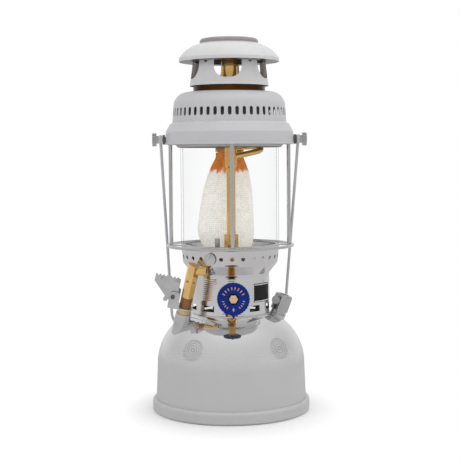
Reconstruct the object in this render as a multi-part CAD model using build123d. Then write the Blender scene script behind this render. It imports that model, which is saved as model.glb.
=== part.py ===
from build123d import *
import os
from math import asin, cos, degrees, hypot, radians, sin, sqrt

os.makedirs("parts", exist_ok=True)

# A paraffin pressure lantern with a torch preheater. Millimetres, +Z up.
# The origin is the centre of the base ring's underside and the handwheel faces -Y, the front.
# An azimuth is counted from the front towards +X.

# Clearances
fit_gap = 0.05
shaft_gap = 0.06
running_gap = 0.4

# Sheet metal
sheet = 0.8

# Base ring and tank
base_radius = 86.1
base_bead = 3.9
base_height = 13.4
base_ledge = 2.0
ledge_width = 7.5
base_round = 2.5
bead_round = 3.4
tank_radius = base_radius - base_bead
tank_wall = 1.0
floor_thickness = 1.2
shoulder_inset = 1.6
shoulder_radius = tank_radius - shoulder_inset
shoulder_height = 50.6
dome_radius = 60.0

# Shroud on the tank
shroud_radius = 42.3
shroud_height = 40.5
collar_lip = 1.5
collar_height = 1.2
rib_count = 11
rib_pitch = 2.2
rib_depth = 0.5
window_width = 13.5
window_height = 6.4
window_rise = 7.2
window_azimuths = [36, 72, 108, 144, 180, 216, 252, 288, 324]
mouth_width = 26.0
mouth_height = 5.5
spindle_hole_radius = 7.5

# Gallery: flare and perforated band
flare_foot = 2.4
flare_height = 14.0
flare_reach = 9.3
flare_radius = shroud_radius + flare_reach
gallery_height = 20.0
band_flare = 2.1
gallery_rim_radius = flare_radius + band_flare
seat_width = 3.6
air_hole_count = 28
air_hole_radius = 2.25
air_hole_rise = 7.0
first_air_hole = 0.0

# Match hole and its cover
match_hole_radius = 4.6
match_hole_index = -2
cover_radius = 6.5
cover_thickness = 1.6
cover_crown = 1.0
cover_pivot_rise = 4.4
cover_rivet_radius = 1.2

# Cage
ring_reach = 14.5
ring_radius = gallery_rim_radius + ring_reach
ring_wire = 3.2
bracket_width = 6.0
bracket_thickness = 1.6
rod_radius = 2.1
rod_gap = 0.2
lug_width = 10.0
lug_height = 9.0

# Glass
glass_height = 107.0
glass_wall = 2.2
glass_inset = 0.2

# Hood
hood_lift = 108.0
hood_overhang = 1.1
hood_radius = ring_radius + hood_overhang
hood_band = 13.5
hood_cone = 8.5
hood_step = 1.6
band_round = 4.0
step_round = 1.2
hood_round = 15.0
vent_inset = 7.4
vent_radius = hood_radius - vent_inset
step_reach = 2.9
hood_step_radius = vent_radius + step_reach
vent_height = 32.4
vent_taper = 2.4
neck_rise = 0.6
lip_height = 2.4
lip_depth = 0.6
slot_count = 50
slot_width = 3.7
slot_length = 9.0
slot_rise = 11.0
slot_turn = -1.7

# Inner casing and chimney collar
casing_reach = 4.5
casing_lip = 0.8
casing_round = 3.4
casing_drop = 3.3
casing_skirt = 16.1
casing_neck = 13.5
throat_inset = 1.6
throat_height = 8.0
neck_reach = 2.2
collar_wall = 1.0

# Crown and cap
crown_gap = 6.4
crown_top_radius = 39.616
crown_flare = 3.2
crown_neck_flare = 2.3
crown_radius = crown_top_radius + crown_flare
crown_neck_radius = crown_top_radius + crown_neck_flare
throat_radius = crown_top_radius - throat_inset
neck_radius = throat_radius + neck_reach
crown_neck_rise = 5.0
crown_height = 26.0
crown_band = 7.4
prong_count = 5
prong_width = 19.5
prong_foot_round = 12.0
prong_shift = -4.0
notch_width = 6.0
notch_depth = 3.0
strut_radius = 1.5
cap_overhang = 14.6
cap_radius = crown_top_radius + cap_overhang
cap_rim = 3.3
cap_rise = 19.3
cap_bulge = 3.0
disc_inset = 23.0
disc_radius = cap_radius - disc_inset
disc_height = 5.5
cap_ring_lap = 2.0
cap_ring_thickness = 1.0

# Burner
vapor_inset = 9.3
vapor_offset = shroud_radius - vapor_inset
mixing_radius = 8.75
mixing_wall = 1.0
mixing_inset = 5.3
mixing_lean_round = 18.0
inlet_rise = 13.0
bell_radius = 11.0
bell_height = 5.0
chamber_radius = 15.5
chamber_wall = 1.5
chamber_drop = 8.0
chamber_height = 20.0
socket_height = 15.0
spider_width = 8.0
spider_thickness = 1.6
spider_rim = 3.5
nozzle_flange_radius = 13.0
nozzle_flange = 4.0
nozzle_radius = 10.5
nozzle_length = 15.0
nozzle_bore = 5.0
spigot_radius = 8.4
spigot_height = 5.0

# Mantle
mantle_length = 109.5
mantle_belly_width = 30.9
mantle_clear = 2.6
mantle_neck = 14.6
mantle_sway = 4.3
mantle_gap = 0.5

# Vaporizer
vapor_radius = 4.7
vapor_bore = 2.6
block_radius = 6.25
block_height = 27.0
vapor_rise = 2.0
loop_gap = 2.2
loop_depth = 18.0
loop_radius = 3.0
loop_drop = 16.0
loop_climb = 7.0
loop_round = 6.5
loop_top = 4.2
jet_radius = 3.4
jet_height = 5.5
jet_bore = 0.7
vapor_nut_across = 13.0
vapor_nut_height = 16.0

# Valve and handwheel
valve_radius = 6.8
valve_neck_radius = 6.0
valve_flange_radius = 7.2
valve_flange_height = 9.0
valve_spigot_radius = 5.0
valve_spigot_depth = 7.0
chamber_bore = 4.6
fuel_bore = 2.0
spindle_rise = 23.3
spindle_radius = 2.4
cam_radius = 3.0
cam_thickness = 1.1
cam_throw = 2.0
cam_pin_radius = 0.8
yoke_depth = 2.4
yoke_height = 7.0
pricker_radius = 0.9
needle_radius = 0.4
needle_length = 6.0
gland_radius = 5.5
gland_reach = 11.0
packing_nut_across = 11.0
packing_nut_length = 8.0
wheel_radius = 16.85
wheel_thickness = 5.5
wheel_stand = 22.5
wheel_hub_radius = 6.0
wheel_recess_radius = 5.6
wheel_recess = 2.4
scallop_count = 32
scallop_radius = 1.2
scallop_depth = 0.4
pointer_reach = 4.0
wheel_nut_across = 8.0
wheel_nut_height = 3.4
suction_radius = 3.2
strainer_radius = 5.0
strainer_height = 8.0
suction_floor_gap = 2.5

# Preheat bowl and spout inside the gallery
bowl_inset = 13.1
bowl_gap = 1.5
bowl_radius = 9.0
bowl_depth = 12.0
bowl_arm_width = 8.0
spout_x = -15.0
spout_reach = 3.0
spout_radius = 2.7
spout_top_rise = 8.5

# Torch preheater
heater_share = 0.453
heater_azimuth = -64.5
torch_azimuth = -42.5
torch_clear = 7.5
heater_boss_foot = 8.8
heater_boss_radius = 8.4
heater_boss_height = 15.2
heater_spigot_radius = 4.0
heater_spigot_depth = 12.0
heater_bore = 1.8
heater_plate = 1.5
heater_stem_radius = 6.4
heater_stem_height = 11.9
heater_ring_radius = 7.3
heater_ring_height = 5.8
torch_across = 11.8
torch_height = 36.6
torch_turn = -20.0
torch_slope = 12.7
torch_hole_radius = 1.3
torch_hole_offset = 3.4
torch_hole_rise = 18.8
torch_tip_azimuth = -30.6
torch_tip_reach = 10.5
torch_tip_rise = 7.9
torch_tip_radius = 4.5
torch_tip_bore = 2.5
torch_arm_rise = 30.2
pin_offset = 15.3
pin_rise = 11.4
pin_radius = 1.5
pin_head_radius = 2.2
pin_head = 1.0
cheek_offset = 7.0
cheek_thickness = 1.2
cheek_rise = 6.0
cheek_back = 3.4
lever_gap = 5.6
lever_thickness = 1.0
lever_back = 22.4
lever_front = 5.0
lever_rise = 16.1
lever_ear = 4.5
curl_reach = 7.2
curl_drop = 4.5
curl_radius = 2.4
lever_flange = 1.2
lever_ridge_count = 7
heater_valve_travel = 3.0

# Filler
filler_reach = 8.7
filler_azimuth = 90.0
filler_tilt = 20.2
filler_neck_radius = 6.75
filler_bore = 5.0
filler_neck_height = 8.0
filler_neck_depth = 8.0
filler_flange_radius = 8.6
filler_flange_height = 4.0
filler_cap_across = 19.0
filler_corner = 0.52
filler_cap_sides = 8
filler_cap_height = 22.0
filler_cap_round = 2.6
filler_skirt = 6.0
filler_skirt_radius = 8.0
filler_grip_rise = 4.0
gasket_thickness = 1.2
dial_radius = 5.4
dial_thickness = 0.6
dial_gap = 1.4
gauge_glass_thickness = 0.9
pointer_length = 4.2
pointer_width = 0.9
pointer_thickness = 0.5
vent_rise = 14.0
vent_turn = -135.0
vent_head_radius = 4.8
vent_head = 2.2
vent_shank_radius = 1.4
vent_shank = 1.8

# Pump
pump_reach = 13.7
pump_azimuth = 180.0
pump_tilt = 20.0
barrel_radius = 9.0
barrel_wall = 1.0
barrel_depth = 76.0
barrel_rise = 6.0
pump_flange_radius = 12.0
pump_flange_height = 4.0
pump_cap_radius = 10.6
pump_cap_height = 6.0
pump_rod_radius = 2.5
pump_stroke = 58.0
pump_knob_radius = 9.5
pump_knob_height = 10.0
leather_height = 8.0
check_radius = 4.0
check_height = 8.0

# Bail and its pivots
pivot_rise = 5.5
stud_radius = 2.0
hood_nut_across = 9.0
hood_nut_thickness = 3.4
hood_nut_shoulder = 3.0
eye_radius = 5.0
eye_thickness = 3.2
bail_wire = 3.2
bail_length = 232.0
bail_inset = 4.3
bail_corner = 20.0
bail_rest_gap = 1.0
thumb_collar_radius = 4.2
thumb_collar = 2.6
thumb_radius = 7.1
thumb_thickness = 4.5
knurl_count = 20
knurl_radius = 0.7

# Worked out places
dome_centre = shoulder_radius - dome_radius
collar_radius = shroud_radius + collar_lip


def dome_height(radius):
    """Height of the tank's top at a radius."""
    if radius <= dome_centre:
        return shoulder_height + dome_radius
    return shoulder_height + sqrt(dome_radius**2 - (radius - dome_centre) ** 2)


collar_top = dome_height(collar_radius) + collar_height
shroud_top = collar_top + shroud_height
flare_top = shroud_top + flare_height
gallery_top = flare_top + gallery_height
air_hole_height = flare_top + air_hole_rise
ring_height = gallery_top - bracket_thickness
bracket_top = ring_height + bracket_thickness / 2
rod_circle = ring_radius - ring_wire / 2 - rod_radius - rod_gap
glass_radius = gallery_rim_radius - glass_inset
hood_base = gallery_top + hood_lift
band_top = hood_base + hood_band
cone_top = band_top + hood_cone
vent_base = cone_top + hood_step
vent_top = vent_base + vent_height
neck_top = vent_top + neck_rise
casing_radius = glass_radius + casing_reach
casing_base = hood_base - casing_drop
skirt_top = casing_base + casing_skirt
casing_flange = skirt_top - 2 * sheet
throat_base = neck_top - casing_neck
throat_top = throat_base + throat_height
mixing_offset = throat_radius - mixing_radius - mixing_inset
crown_base = neck_top + crown_gap
cap_base = crown_base + crown_height
disc_base = cap_base + cap_rise
chamber_base = hood_base - chamber_drop
chamber_top = chamber_base + chamber_height
vapor_top = hood_base + vapor_rise
valve_base = dome_height(vapor_offset)
valve_top = gallery_top - seat_width
spindle_height = collar_top + spindle_rise
pivot_height = hood_base + pivot_rise
eye_start = hood_radius + hood_nut_thickness + running_gap
eye_middle = eye_start + eye_thickness / 2
collar_start = eye_start + eye_thickness + running_gap
thumb_start = collar_start + thumb_collar


def place(azimuth, radius, height, tilt=0.0):
    """Frame on the lantern at an azimuth, with its Z axis tilted outwards."""
    return Rot(0, 0, azimuth) * Pos(0, -radius, height) * Rot(tilt, 0, 0)


def turned(points, radii=None):
    """Solid of revolution about Z of a closed outline of (radius, height) corners."""
    corners = [(r, 0, z) for r, z in points]
    if radii is None:
        outline = Polyline(*corners, close=True)
    else:
        outline = FilletPolyline(*corners, radius=radii, close=True)
    return Solid.revolve(Face(Wire(outline.edges())), 360, Axis.Z)


def line_edges(points, radii):
    """Edges of an open outline with rounded inner corners."""
    corners = [(r, 0, z) for r, z in points]
    return list(FilletPolyline(*corners, radius=radii).edges())


def left_points(points, distance):
    """Corners of an open outline moved to the left of the way along."""
    ways = []
    for (r0, z0), (r1, z1) in zip(points, points[1:]):
        length = hypot(r1 - r0, z1 - z0)
        ways.append(((r1 - r0) / length, (z1 - z0) / length))
    moved = []
    for i, (r, z) in enumerate(points):
        before = ways[max(i - 1, 0)]
        after = ways[min(i, len(ways) - 1)]
        share = distance / (1 + before[0] * after[0] + before[1] * after[1])
        moved.append((r - (before[1] + after[1]) * share, z + (before[0] + after[0]) * share))
    return moved


def left_radii(points, radii, distance):
    """Corner radii of an open outline moved to the left of the way along."""
    moved = []
    for i, radius in enumerate(radii):
        (r0, z0), (r1, z1), (r2, z2) = points[i : i + 3]
        turn = (r1 - r0) * (z2 - z1) - (z1 - z0) * (r2 - r1)
        moved.append(max(radius - distance, 0) if turn > 0 else radius + distance)
    return moved


def closing(edges):
    """Straight edge from the end of the last edge to the start of the first."""
    return Line(edges[-1] @ 1, edges[0] @ 0)


def spun_sheet(points, radii, thickness=sheet):
    """Sheet spun about Z along an open outline, its thickness to the left of the way along."""
    outer = line_edges(points, radii)
    inner_points = left_points(points, thickness)[::-1]
    inner_radii = left_radii(points, radii, thickness)[::-1]
    inner = line_edges(inner_points, inner_radii)
    edges = outer + [Line(outer[-1] @ 1, inner[0] @ 0)] + inner
    return Solid.revolve(Face(Wire(edges + [closing(edges)])), 360, Axis.Z)


def spun_core(points, radii, inset=0.0):
    """Solid inside a spun outline, drawn in by an inset."""
    core = line_edges(left_points(points, inset), left_radii(points, radii, inset))
    top = (core[-1] @ 1).Z
    edges = core + [Line(core[-1] @ 1, (0, 0, top))]
    edges = edges + [Line((0, 0, top), (0, 0, (core[0] @ 0).Z))]
    return Solid.revolve(Face(Wire(edges + [closing(edges)])), 360, Axis.Z)


def post(radius, low, high):
    """Upright cylinder on the local Z axis."""
    return Solid.make_cylinder(radius, high - low, Plane((0, 0, low)))


def bar(start, end, radius):
    """Cylinder from one point to another."""
    way = Vector(*end) - Vector(*start)
    return Solid.make_cylinder(radius, way.length, Plane(origin=start, z_dir=way))


def block(x, y, z):
    """Box between two values on each axis."""
    corner = Plane((min(x), min(y), min(z)))
    return Solid.make_box(abs(x[1] - x[0]), abs(y[1] - y[0]), abs(z[1] - z[0]), corner)


def prism(sides, across, low, high):
    """Upright prism with a regular outline, measured across its flats."""
    outline = RegularPolygon(across / 2, sides, major_radius=False)
    return extrude(Pos(0, 0, low) * outline, high - low)


def swept(points, radii, radius):
    """Round bar along straight runs joined by arcs."""
    route = FilletPolyline(*points, radius=radii)
    return sweep(Plane(origin=route @ 0, z_dir=route % 0) * Circle(radius), path=route)


def front_cut(outline, near, far):
    """Prism of an outline in X and Z that reaches from one distance in front of the axis to another."""
    return extrude(Plane.XZ.offset(near) * outline, far - near)


def around(shape, count, first=0.0):
    """Copies of a shape spaced evenly about Z."""
    return [Rot(0, 0, first + i * 360 / count) * shape for i in range(count)]


to_x = Rot(0, 90, 0)
to_front = Rot(90, 0, 0)


# Tank

def tank_form(inset, bottom):
    """Solid with the tank's outside, drawn in by an inset."""
    wall = tank_radius - inset
    shoulder = shoulder_radius - inset
    reach = dome_radius - inset
    top = shoulder_height + reach
    slant = reach * sin(radians(45))
    edges = [
        Line((0, 0, bottom), (wall, 0, bottom)),
        Line((wall, 0, bottom), (wall, 0, base_height)),
        Line((wall, 0, base_height), (shoulder, 0, shoulder_height)),
        ThreePointArc(
            (shoulder, 0, shoulder_height),
            (dome_centre + slant, 0, shoulder_height + slant),
            (dome_centre, 0, top),
        ),
        Line((dome_centre, 0, top), (0, 0, top)),
        Line((0, 0, top), (0, 0, bottom)),
    ]
    return Solid.revolve(Face(Wire(edges)), 360, Axis.Z)


tank_outside = tank_form(0, base_ledge)
filler_radius = shroud_radius + filler_reach
filler_place = place(filler_azimuth, filler_radius, dome_height(filler_radius), filler_tilt)
pump_radius = shroud_radius + pump_reach
pump_place = place(pump_azimuth, pump_radius, dome_height(pump_radius), pump_tilt)
heater_radius = collar_radius + heater_share * (shoulder_radius - collar_radius)
heater_foot = place(heater_azimuth, heater_radius, dome_height(heater_radius)).position
torch_stand = place(torch_azimuth, flare_radius + torch_clear, flare_top).position
heater_way = torch_stand - heater_foot
heater_side = (heater_way.Z, 0, -heater_way.X)
heater_place = Plane(origin=heater_foot, x_dir=heater_side, z_dir=heater_way).location
valve_place = Pos(0, -vapor_offset, 0)


def make_tank_shell():
    shell = tank_outside - tank_form(tank_wall, base_ledge - tank_wall)
    holes = [
        filler_place * post(filler_neck_radius + fit_gap, -filler_neck_depth, filler_neck_depth),
        pump_place * post(barrel_radius + fit_gap, -2 * barrel_radius, barrel_radius),
        heater_place * post(heater_spigot_radius + fit_gap, -heater_spigot_depth, heater_spigot_depth),
        valve_place * post(valve_spigot_radius + fit_gap, shoulder_height, valve_base + dome_radius),
    ]
    return shell - holes


def make_tank_floor():
    radius = tank_radius - tank_wall - fit_gap
    return post(radius, base_ledge, base_ledge + floor_thickness)


def make_base_ring():
    inner = tank_radius + fit_gap
    ledge = tank_radius - ledge_width
    corners = [
        (ledge, 0),
        (base_radius, 0),
        (base_radius, base_height),
        (inner, base_height),
        (inner, base_ledge),
        (ledge, base_ledge),
    ]
    return turned(corners, [0, base_round, bead_round, 0, 0, 0])


def make_tank_collar():
    inner = shroud_radius - collar_lip
    low = shoulder_height
    ring = turned([(inner, low), (collar_radius, low), (collar_radius, collar_top), (inner, collar_top)])
    valve = valve_place * post(valve_flange_radius + fit_gap, low, collar_top + collar_height)
    return ring - tank_outside - valve


# Shroud and gallery

def make_shroud():
    inner = shroud_radius - sheet
    ribs_top = shroud_top - rib_pitch / 2
    ribs_base = ribs_top - rib_count * rib_pitch
    outside = [(shroud_radius, collar_top)]
    for i in range(rib_count):
        start = ribs_base + i * rib_pitch
        outside.append((shroud_radius, start))
        outside.append((shroud_radius + rib_depth, start + rib_pitch / 2))
    outside.append((shroud_radius, ribs_top))
    outside.append((shroud_radius, shroud_top))
    wall = turned(outside + [(inner, shroud_top), (inner, collar_top)])
    near = shroud_radius - 2 * collar_lip - rib_depth
    far = shroud_radius + collar_lip + rib_depth
    window = Pos(0, collar_top + window_rise) * Rectangle(window_width, window_height)
    windows = [Rot(0, 0, a) * front_cut(window, near, far) for a in window_azimuths]
    mouth_top = collar_top + mouth_height
    corners = [
        (-mouth_width / 2, collar_top - sheet),
        (mouth_width / 2, collar_top - sheet),
        (spindle_hole_radius, mouth_top),
        (spindle_hole_radius, spindle_height),
        (-spindle_hole_radius, spindle_height),
        (-spindle_hole_radius, mouth_top),
    ]
    mouth = make_face(Polyline(*corners, close=True)) + Pos(0, spindle_height) * Circle(spindle_hole_radius)
    opening = front_cut(mouth, shroud_radius / 2, far)
    return wall - windows - opening


gallery_points = [
    (shroud_radius, shroud_top),
    (shroud_radius, shroud_top + flare_foot),
    (flare_radius, flare_top),
    (gallery_rim_radius, gallery_top),
    (gallery_rim_radius - seat_width, gallery_top),
]
gallery_radii = [4.0, 5.0, 2 * sheet]
gallery_core = spun_core(gallery_points, gallery_radii)
gallery_cavity = spun_core(gallery_points, gallery_radii, sheet)
air_hole_step = 360 / air_hole_count
match_azimuth = first_air_hole + match_hole_index * air_hole_step
torch_tip_radial = shroud_radius + torch_tip_reach
torch_tip = place(torch_tip_azimuth, torch_tip_radial, shroud_top + torch_tip_rise).position
heater_seat = heater_boss_height + heater_ring_height
stem_base = heater_seat + heater_plate
torch_base = stem_base + heater_stem_height
torch_top = torch_base + torch_height
torch_arm_start = (heater_place * Pos(0, 0, torch_base + torch_arm_rise)).position
torch_way = (torch_tip - torch_arm_start).normalized()
spout_corner = Vector(spout_x, -vapor_offset - spout_reach, torch_tip.Z)
spout_way = (spout_corner - torch_tip).normalized()


def make_gallery():
    band = spun_sheet(gallery_points, gallery_radii)
    far = gallery_rim_radius + sheet
    hole = front_cut(Pos(0, air_hole_height) * Circle(air_hole_radius), flare_radius - sheet * 4, far)
    cuts = []
    for i in range(air_hole_count):
        if (i - match_hole_index) % air_hole_count != 0:
            cuts.append(Rot(0, 0, first_air_hole + i * air_hole_step) * hole)
    match = front_cut(Pos(0, air_hole_height) * Circle(match_hole_radius), flare_radius - sheet * 4, far)
    cuts.append(Rot(0, 0, match_azimuth) * match)
    cuts.append(bar(torch_tip, spout_corner, spout_radius + running_gap))
    return band - cuts


def make_match_cover():
    near = gallery_rim_radius + running_gap
    corners = [
        (0, 0),
        (cover_radius, 0),
        (cover_radius, cover_thickness - cover_crown / 2),
        (cover_radius / 2, cover_thickness + cover_crown / 2),
        (0, cover_thickness + cover_crown),
    ]
    disc = Pos(0, -near, air_hole_height) * to_front * turned(corners)
    pivot = air_hole_height + cover_pivot_rise
    hole = bar((0, 0, pivot), (0, -2 * near, pivot), cover_rivet_radius + shaft_gap)
    return Rot(0, 0, match_azimuth) * (disc - hole)


def make_match_cover_rivet():
    near = gallery_rim_radius + running_gap
    pivot = air_hole_height + cover_pivot_rise
    head = near + cover_thickness + cover_crown + shaft_gap
    shank = bar((0, -flare_radius / 2, pivot), (0, -head, pivot), cover_rivet_radius)
    cap = bar((0, -head, pivot), (0, -head - cover_rivet_radius / 2, pivot), 1.6 * cover_rivet_radius)
    return Rot(0, 0, match_azimuth) * ((shank - gallery_core) + cap)


# Cage and glass

def make_cage_ring():
    return Solid.make_torus(ring_radius, ring_wire / 2, Plane((0, 0, ring_height)))


def make_cage_brackets():
    half = bracket_width / 2
    heights = (bracket_top - bracket_thickness, bracket_top)
    strap = block((-half, half), (-ring_radius, -flare_radius), heights)
    strap = strap - gallery_core - make_cage_ring()
    return Compound(around(strap, 4))


def make_cage_rods():
    top = band_top - 2 * sheet
    rod = bar((0, -rod_circle, bracket_top), (0, -rod_circle, top), rod_radius)
    inner_wall = hood_radius - sheet - fit_gap - lug_width**2 / (8 * hood_radius)
    span = (-inner_wall, -rod_circle + 2 * rod_radius)
    heights = (pivot_height - lug_height / 2, pivot_height + lug_height / 2)
    lug = block((-lug_width / 2, lug_width / 2), span, heights)
    hole = bar((0, 0, pivot_height), (0, -hood_radius, pivot_height), stud_radius + fit_gap)
    lugged = (rod + lug) - hole
    return Compound([rod, Rot(0, 0, 90) * lugged, Rot(0, 0, 180) * rod, Rot(0, 0, 270) * lugged])


def make_glass_chimney():
    inner = glass_radius - glass_wall
    top = gallery_top + glass_height
    corners = [(inner, gallery_top), (glass_radius, gallery_top), (glass_radius, top), (inner, top)]
    return turned(corners)


# Hood

def make_hood_shell():
    points = [
        (hood_radius, hood_base),
        (hood_radius, band_top),
        (hood_step_radius, cone_top),
        (vent_radius, vent_base),
        (vent_radius - vent_taper, vent_top),
        (neck_radius, neck_top),
    ]
    top_width = vent_radius - vent_taper - neck_radius
    top_round = min(hood_round, top_width - sheet)
    shell = spun_sheet(points, [band_round, step_round, step_round, top_round])
    lip_radius = hood_radius + lip_depth
    lip = turned(
        [
            (hood_radius - sheet / 2, hood_base),
            (lip_radius, hood_base),
            (lip_radius, hood_base + lip_height),
            (hood_radius - sheet / 2, hood_base + lip_height),
        ],
        [0, lip_depth / 2, lip_depth / 2, 0],
    )
    slot = SlotOverall(slot_length, slot_width, rotation=90)
    slot_floor = vent_radius - vent_taper - 2 * sheet
    cut = front_cut(Pos(0, vent_base + slot_rise) * slot, slot_floor, vent_radius + 2 * sheet)
    reach = 2 * hood_radius
    pivots = bar((-reach, 0, pivot_height), (reach, 0, pivot_height), stud_radius + fit_gap)
    return (shell + lip) - around(cut, slot_count, slot_turn) - pivots


casing_points = [
    (glass_radius + casing_lip, casing_base),
    (casing_radius, casing_base),
    (casing_radius, skirt_top),
    (throat_radius, throat_base),
    (throat_radius, throat_top),
]
casing_radii = [casing_round, 2 * casing_round, 2 * casing_round]


def make_hood_inner_casing():
    casing = spun_sheet(casing_points, casing_radii)
    outer = hood_radius - sheet - fit_gap
    inner = casing_radius - sheet / 2
    low = casing_flange - sheet
    flange = turned([(inner, low), (outer, low), (outer, casing_flange), (inner, casing_flange)])
    hole = Pos(0, -rod_circle, 0) * post(rod_radius + running_gap, casing_base, skirt_top)
    return (casing + flange) - around(hole, 4)


def make_chimney_collar():
    bore = throat_radius + fit_gap
    outer = throat_radius + collar_wall
    inner = throat_radius - sheet
    top = crown_base + crown_band - 2 * sheet
    corners = [
        (bore, throat_base + collar_wall),
        (outer, throat_base + collar_wall),
        (outer, top),
        (inner, top),
        (inner, throat_top),
        (bore, throat_top),
    ]
    return turned(corners)


# Crown and cap

prong_step = 180 / prong_count
prong_turn = prong_step + prong_shift
strut_height = crown_base + crown_band / 2
crown_points = [
    (crown_radius, crown_base),
    (crown_neck_radius, crown_base + crown_neck_rise),
    (crown_top_radius, cap_base),
]
crown_radii = [6.0]


def make_crown():
    band = spun_sheet(crown_points, crown_radii)
    prong_half_turn = degrees(asin(prong_width / 2 / crown_top_radius))
    half = crown_top_radius * sin(radians(prong_step - prong_half_turn))
    foot = min(prong_foot_round, 0.9 * half)
    valley = crown_base + crown_band
    corners = [
        (-half, valley),
        (half, valley),
        (half, cap_base + sheet),
        (-half, cap_base + sheet),
    ]
    arch = make_face(FilletPolyline(*corners, radius=[foot, foot, 0, 0], close=True))
    far = crown_radius + sheet
    arch_cut = front_cut(arch, crown_top_radius / 2, far)
    tip = [(-notch_width / 2, cap_base), (0, cap_base - notch_depth), (notch_width / 2, cap_base)]
    notch_cut = front_cut(make_face(Polyline(*tip, close=True)), crown_top_radius / 2, far)
    return band - around(arch_cut, prong_count, prong_shift) - around(notch_cut, prong_count, prong_turn)


def make_crown_struts():
    start = throat_radius + collar_wall
    strut = bar((0, -start, strut_height), (0, -crown_radius, strut_height), strut_radius)
    inside = spun_core(crown_points, crown_radii, sheet + fit_gap)
    return Compound(around(strut & inside, prong_count, prong_turn))


def cap_form(inset, bottom):
    """Solid with the cap's outside, drawn in by an inset."""
    rim = cap_radius - inset
    rim_top = cap_base + cap_rim
    top = disc_base - inset
    start = (rim, 0, rim_top)
    end = (disc_radius, 0, top)
    chord = hypot(rim - disc_radius, top - rim_top)
    middle_radius = (rim + disc_radius) / 2 + cap_bulge * (top - rim_top) / chord
    middle_height = (rim_top + top) / 2 + cap_bulge * (rim - disc_radius) / chord
    edges = [
        Line((0, 0, bottom), (rim, 0, bottom)),
        Line((rim, 0, bottom), start),
        ThreePointArc(start, (middle_radius, 0, middle_height), end),
        Line(end, (0, 0, top)),
        Line((0, 0, top), (0, 0, bottom)),
    ]
    return Solid.revolve(Face(Wire(edges)), 360, Axis.Z)


def make_cap():
    shell = cap_form(0, cap_base) - cap_form(sheet, cap_base - sheet)
    rim = disc_radius + sheet / 2
    top = disc_base + disc_height
    corners = [(0, disc_base - sheet / 2), (rim, disc_base - sheet / 2), (rim, top), (0, top)]
    return shell + turned(corners, [0, 0, 0.6 * disc_height, 0])


def make_cap_ring():
    outer = cap_radius - sheet - fit_gap
    inner = crown_top_radius - sheet - cap_ring_lap
    top = cap_base + cap_ring_thickness
    return turned([(inner, cap_base), (outer, cap_base), (outer, top), (inner, top)])


# Burner

def make_mixing_tube():
    inlet = hood_base + inlet_rise
    bend = mixing_offset / 2 - fit_gap
    top = cap_base + cap_rim
    points = [
        (0, -vapor_offset, inlet),
        (0, -vapor_offset, inlet + 2 * bell_height),
        (0, -mixing_offset, throat_base),
        (0, -mixing_offset, top),
        (0, 0, top),
        (0, 0, chamber_top + socket_height / 2),
    ]
    radii = [mixing_lean_round, mixing_lean_round, bend, bend]
    bore = mixing_radius - mixing_wall
    bell = Solid.make_cone(bell_radius, mixing_radius, bell_height, Plane((0, -vapor_offset, inlet)))
    mouth = Solid.make_cone(
        bell_radius - mixing_wall, bore, bell_height, Plane((0, -vapor_offset, inlet))
    )
    return (swept(points, radii, mixing_radius) + bell) - swept(points, radii, bore) - mouth


def make_gas_chamber():
    inner = chamber_radius - chamber_wall
    socket = mixing_radius + mixing_wall + fit_gap
    socket_top = chamber_top + socket_height
    seat = chamber_top + socket_height / 2
    bore = mixing_radius - mixing_wall
    floor = chamber_base + chamber_wall
    hole = spigot_radius + fit_gap
    corners = [
        (hole, chamber_base),
        (chamber_radius, chamber_base),
        (chamber_radius, chamber_top),
        (socket, chamber_top + socket_height / 3),
        (socket, socket_top),
        (mixing_radius + fit_gap, socket_top),
        (mixing_radius + fit_gap, seat),
        (bore, seat),
        (bore, chamber_top),
        (inner, chamber_top - chamber_wall * 2),
        (inner, floor),
        (hole, floor),
    ]
    return turned(corners)


def make_burner_bracket():
    low = skirt_top - casing_skirt / 2
    high = low + spider_thickness
    rim = chamber_radius + spider_rim
    ring = post(rim, low, high)
    arms = block((-casing_radius, casing_radius), (-spider_width / 2, spider_width / 2), (low, high))
    casing_inside = post(casing_radius - sheet - fit_gap, casing_base, skirt_top)
    hole = post(chamber_radius + fit_gap, low - sheet, high + sheet)
    return ((ring + arms) & casing_inside) - hole


def make_ceramic_nozzle():
    flange_base = chamber_base - nozzle_flange
    corners = [
        (nozzle_bore, chamber_base - nozzle_length),
        (nozzle_radius, chamber_base - nozzle_length),
        (nozzle_radius, flange_base),
        (nozzle_flange_radius, flange_base),
        (nozzle_flange_radius, chamber_base),
        (spigot_radius, chamber_base),
        (spigot_radius, chamber_base + spigot_height),
        (nozzle_bore, chamber_base + spigot_height),
    ]
    return turned(corners)


# Stations down the mantle: share of its length, share of the way from neck to belly width
mantle_stations = [(0.0, 0.0), (0.2, 0.43), (0.42, 0.79), (0.62, 0.94), (0.77, 1.0), (0.9, 0.8)]
mantle_foot = 0.38
mantle_belly_depth = vapor_offset - vapor_radius - mantle_clear


def make_mantle():
    top = chamber_base - mantle_gap
    sections = []
    stations = mantle_stations + [(1.0, None)]
    for share, swell in stations:
        wide = mantle_belly_width * mantle_foot
        deep = mantle_belly_depth * mantle_foot
        if swell is not None:
            wide = mantle_neck + (mantle_belly_width - mantle_neck) * swell
            deep = mantle_neck + (mantle_belly_depth - mantle_neck) * swell
        spot = Pos(-mantle_sway * share, 0, top - mantle_length * share)
        sections.append(spot * Ellipse(wide, deep))
    bag = loft(sections)
    flange_low = chamber_base - nozzle_flange - mantle_gap
    nozzle = post(nozzle_flange_radius + mantle_gap, flange_low, chamber_base)
    stem = post(nozzle_radius + mantle_gap, chamber_base - nozzle_length - mantle_gap, chamber_base)
    return bag - nozzle - stem


# Vaporizer, valve and handwheel

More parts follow.
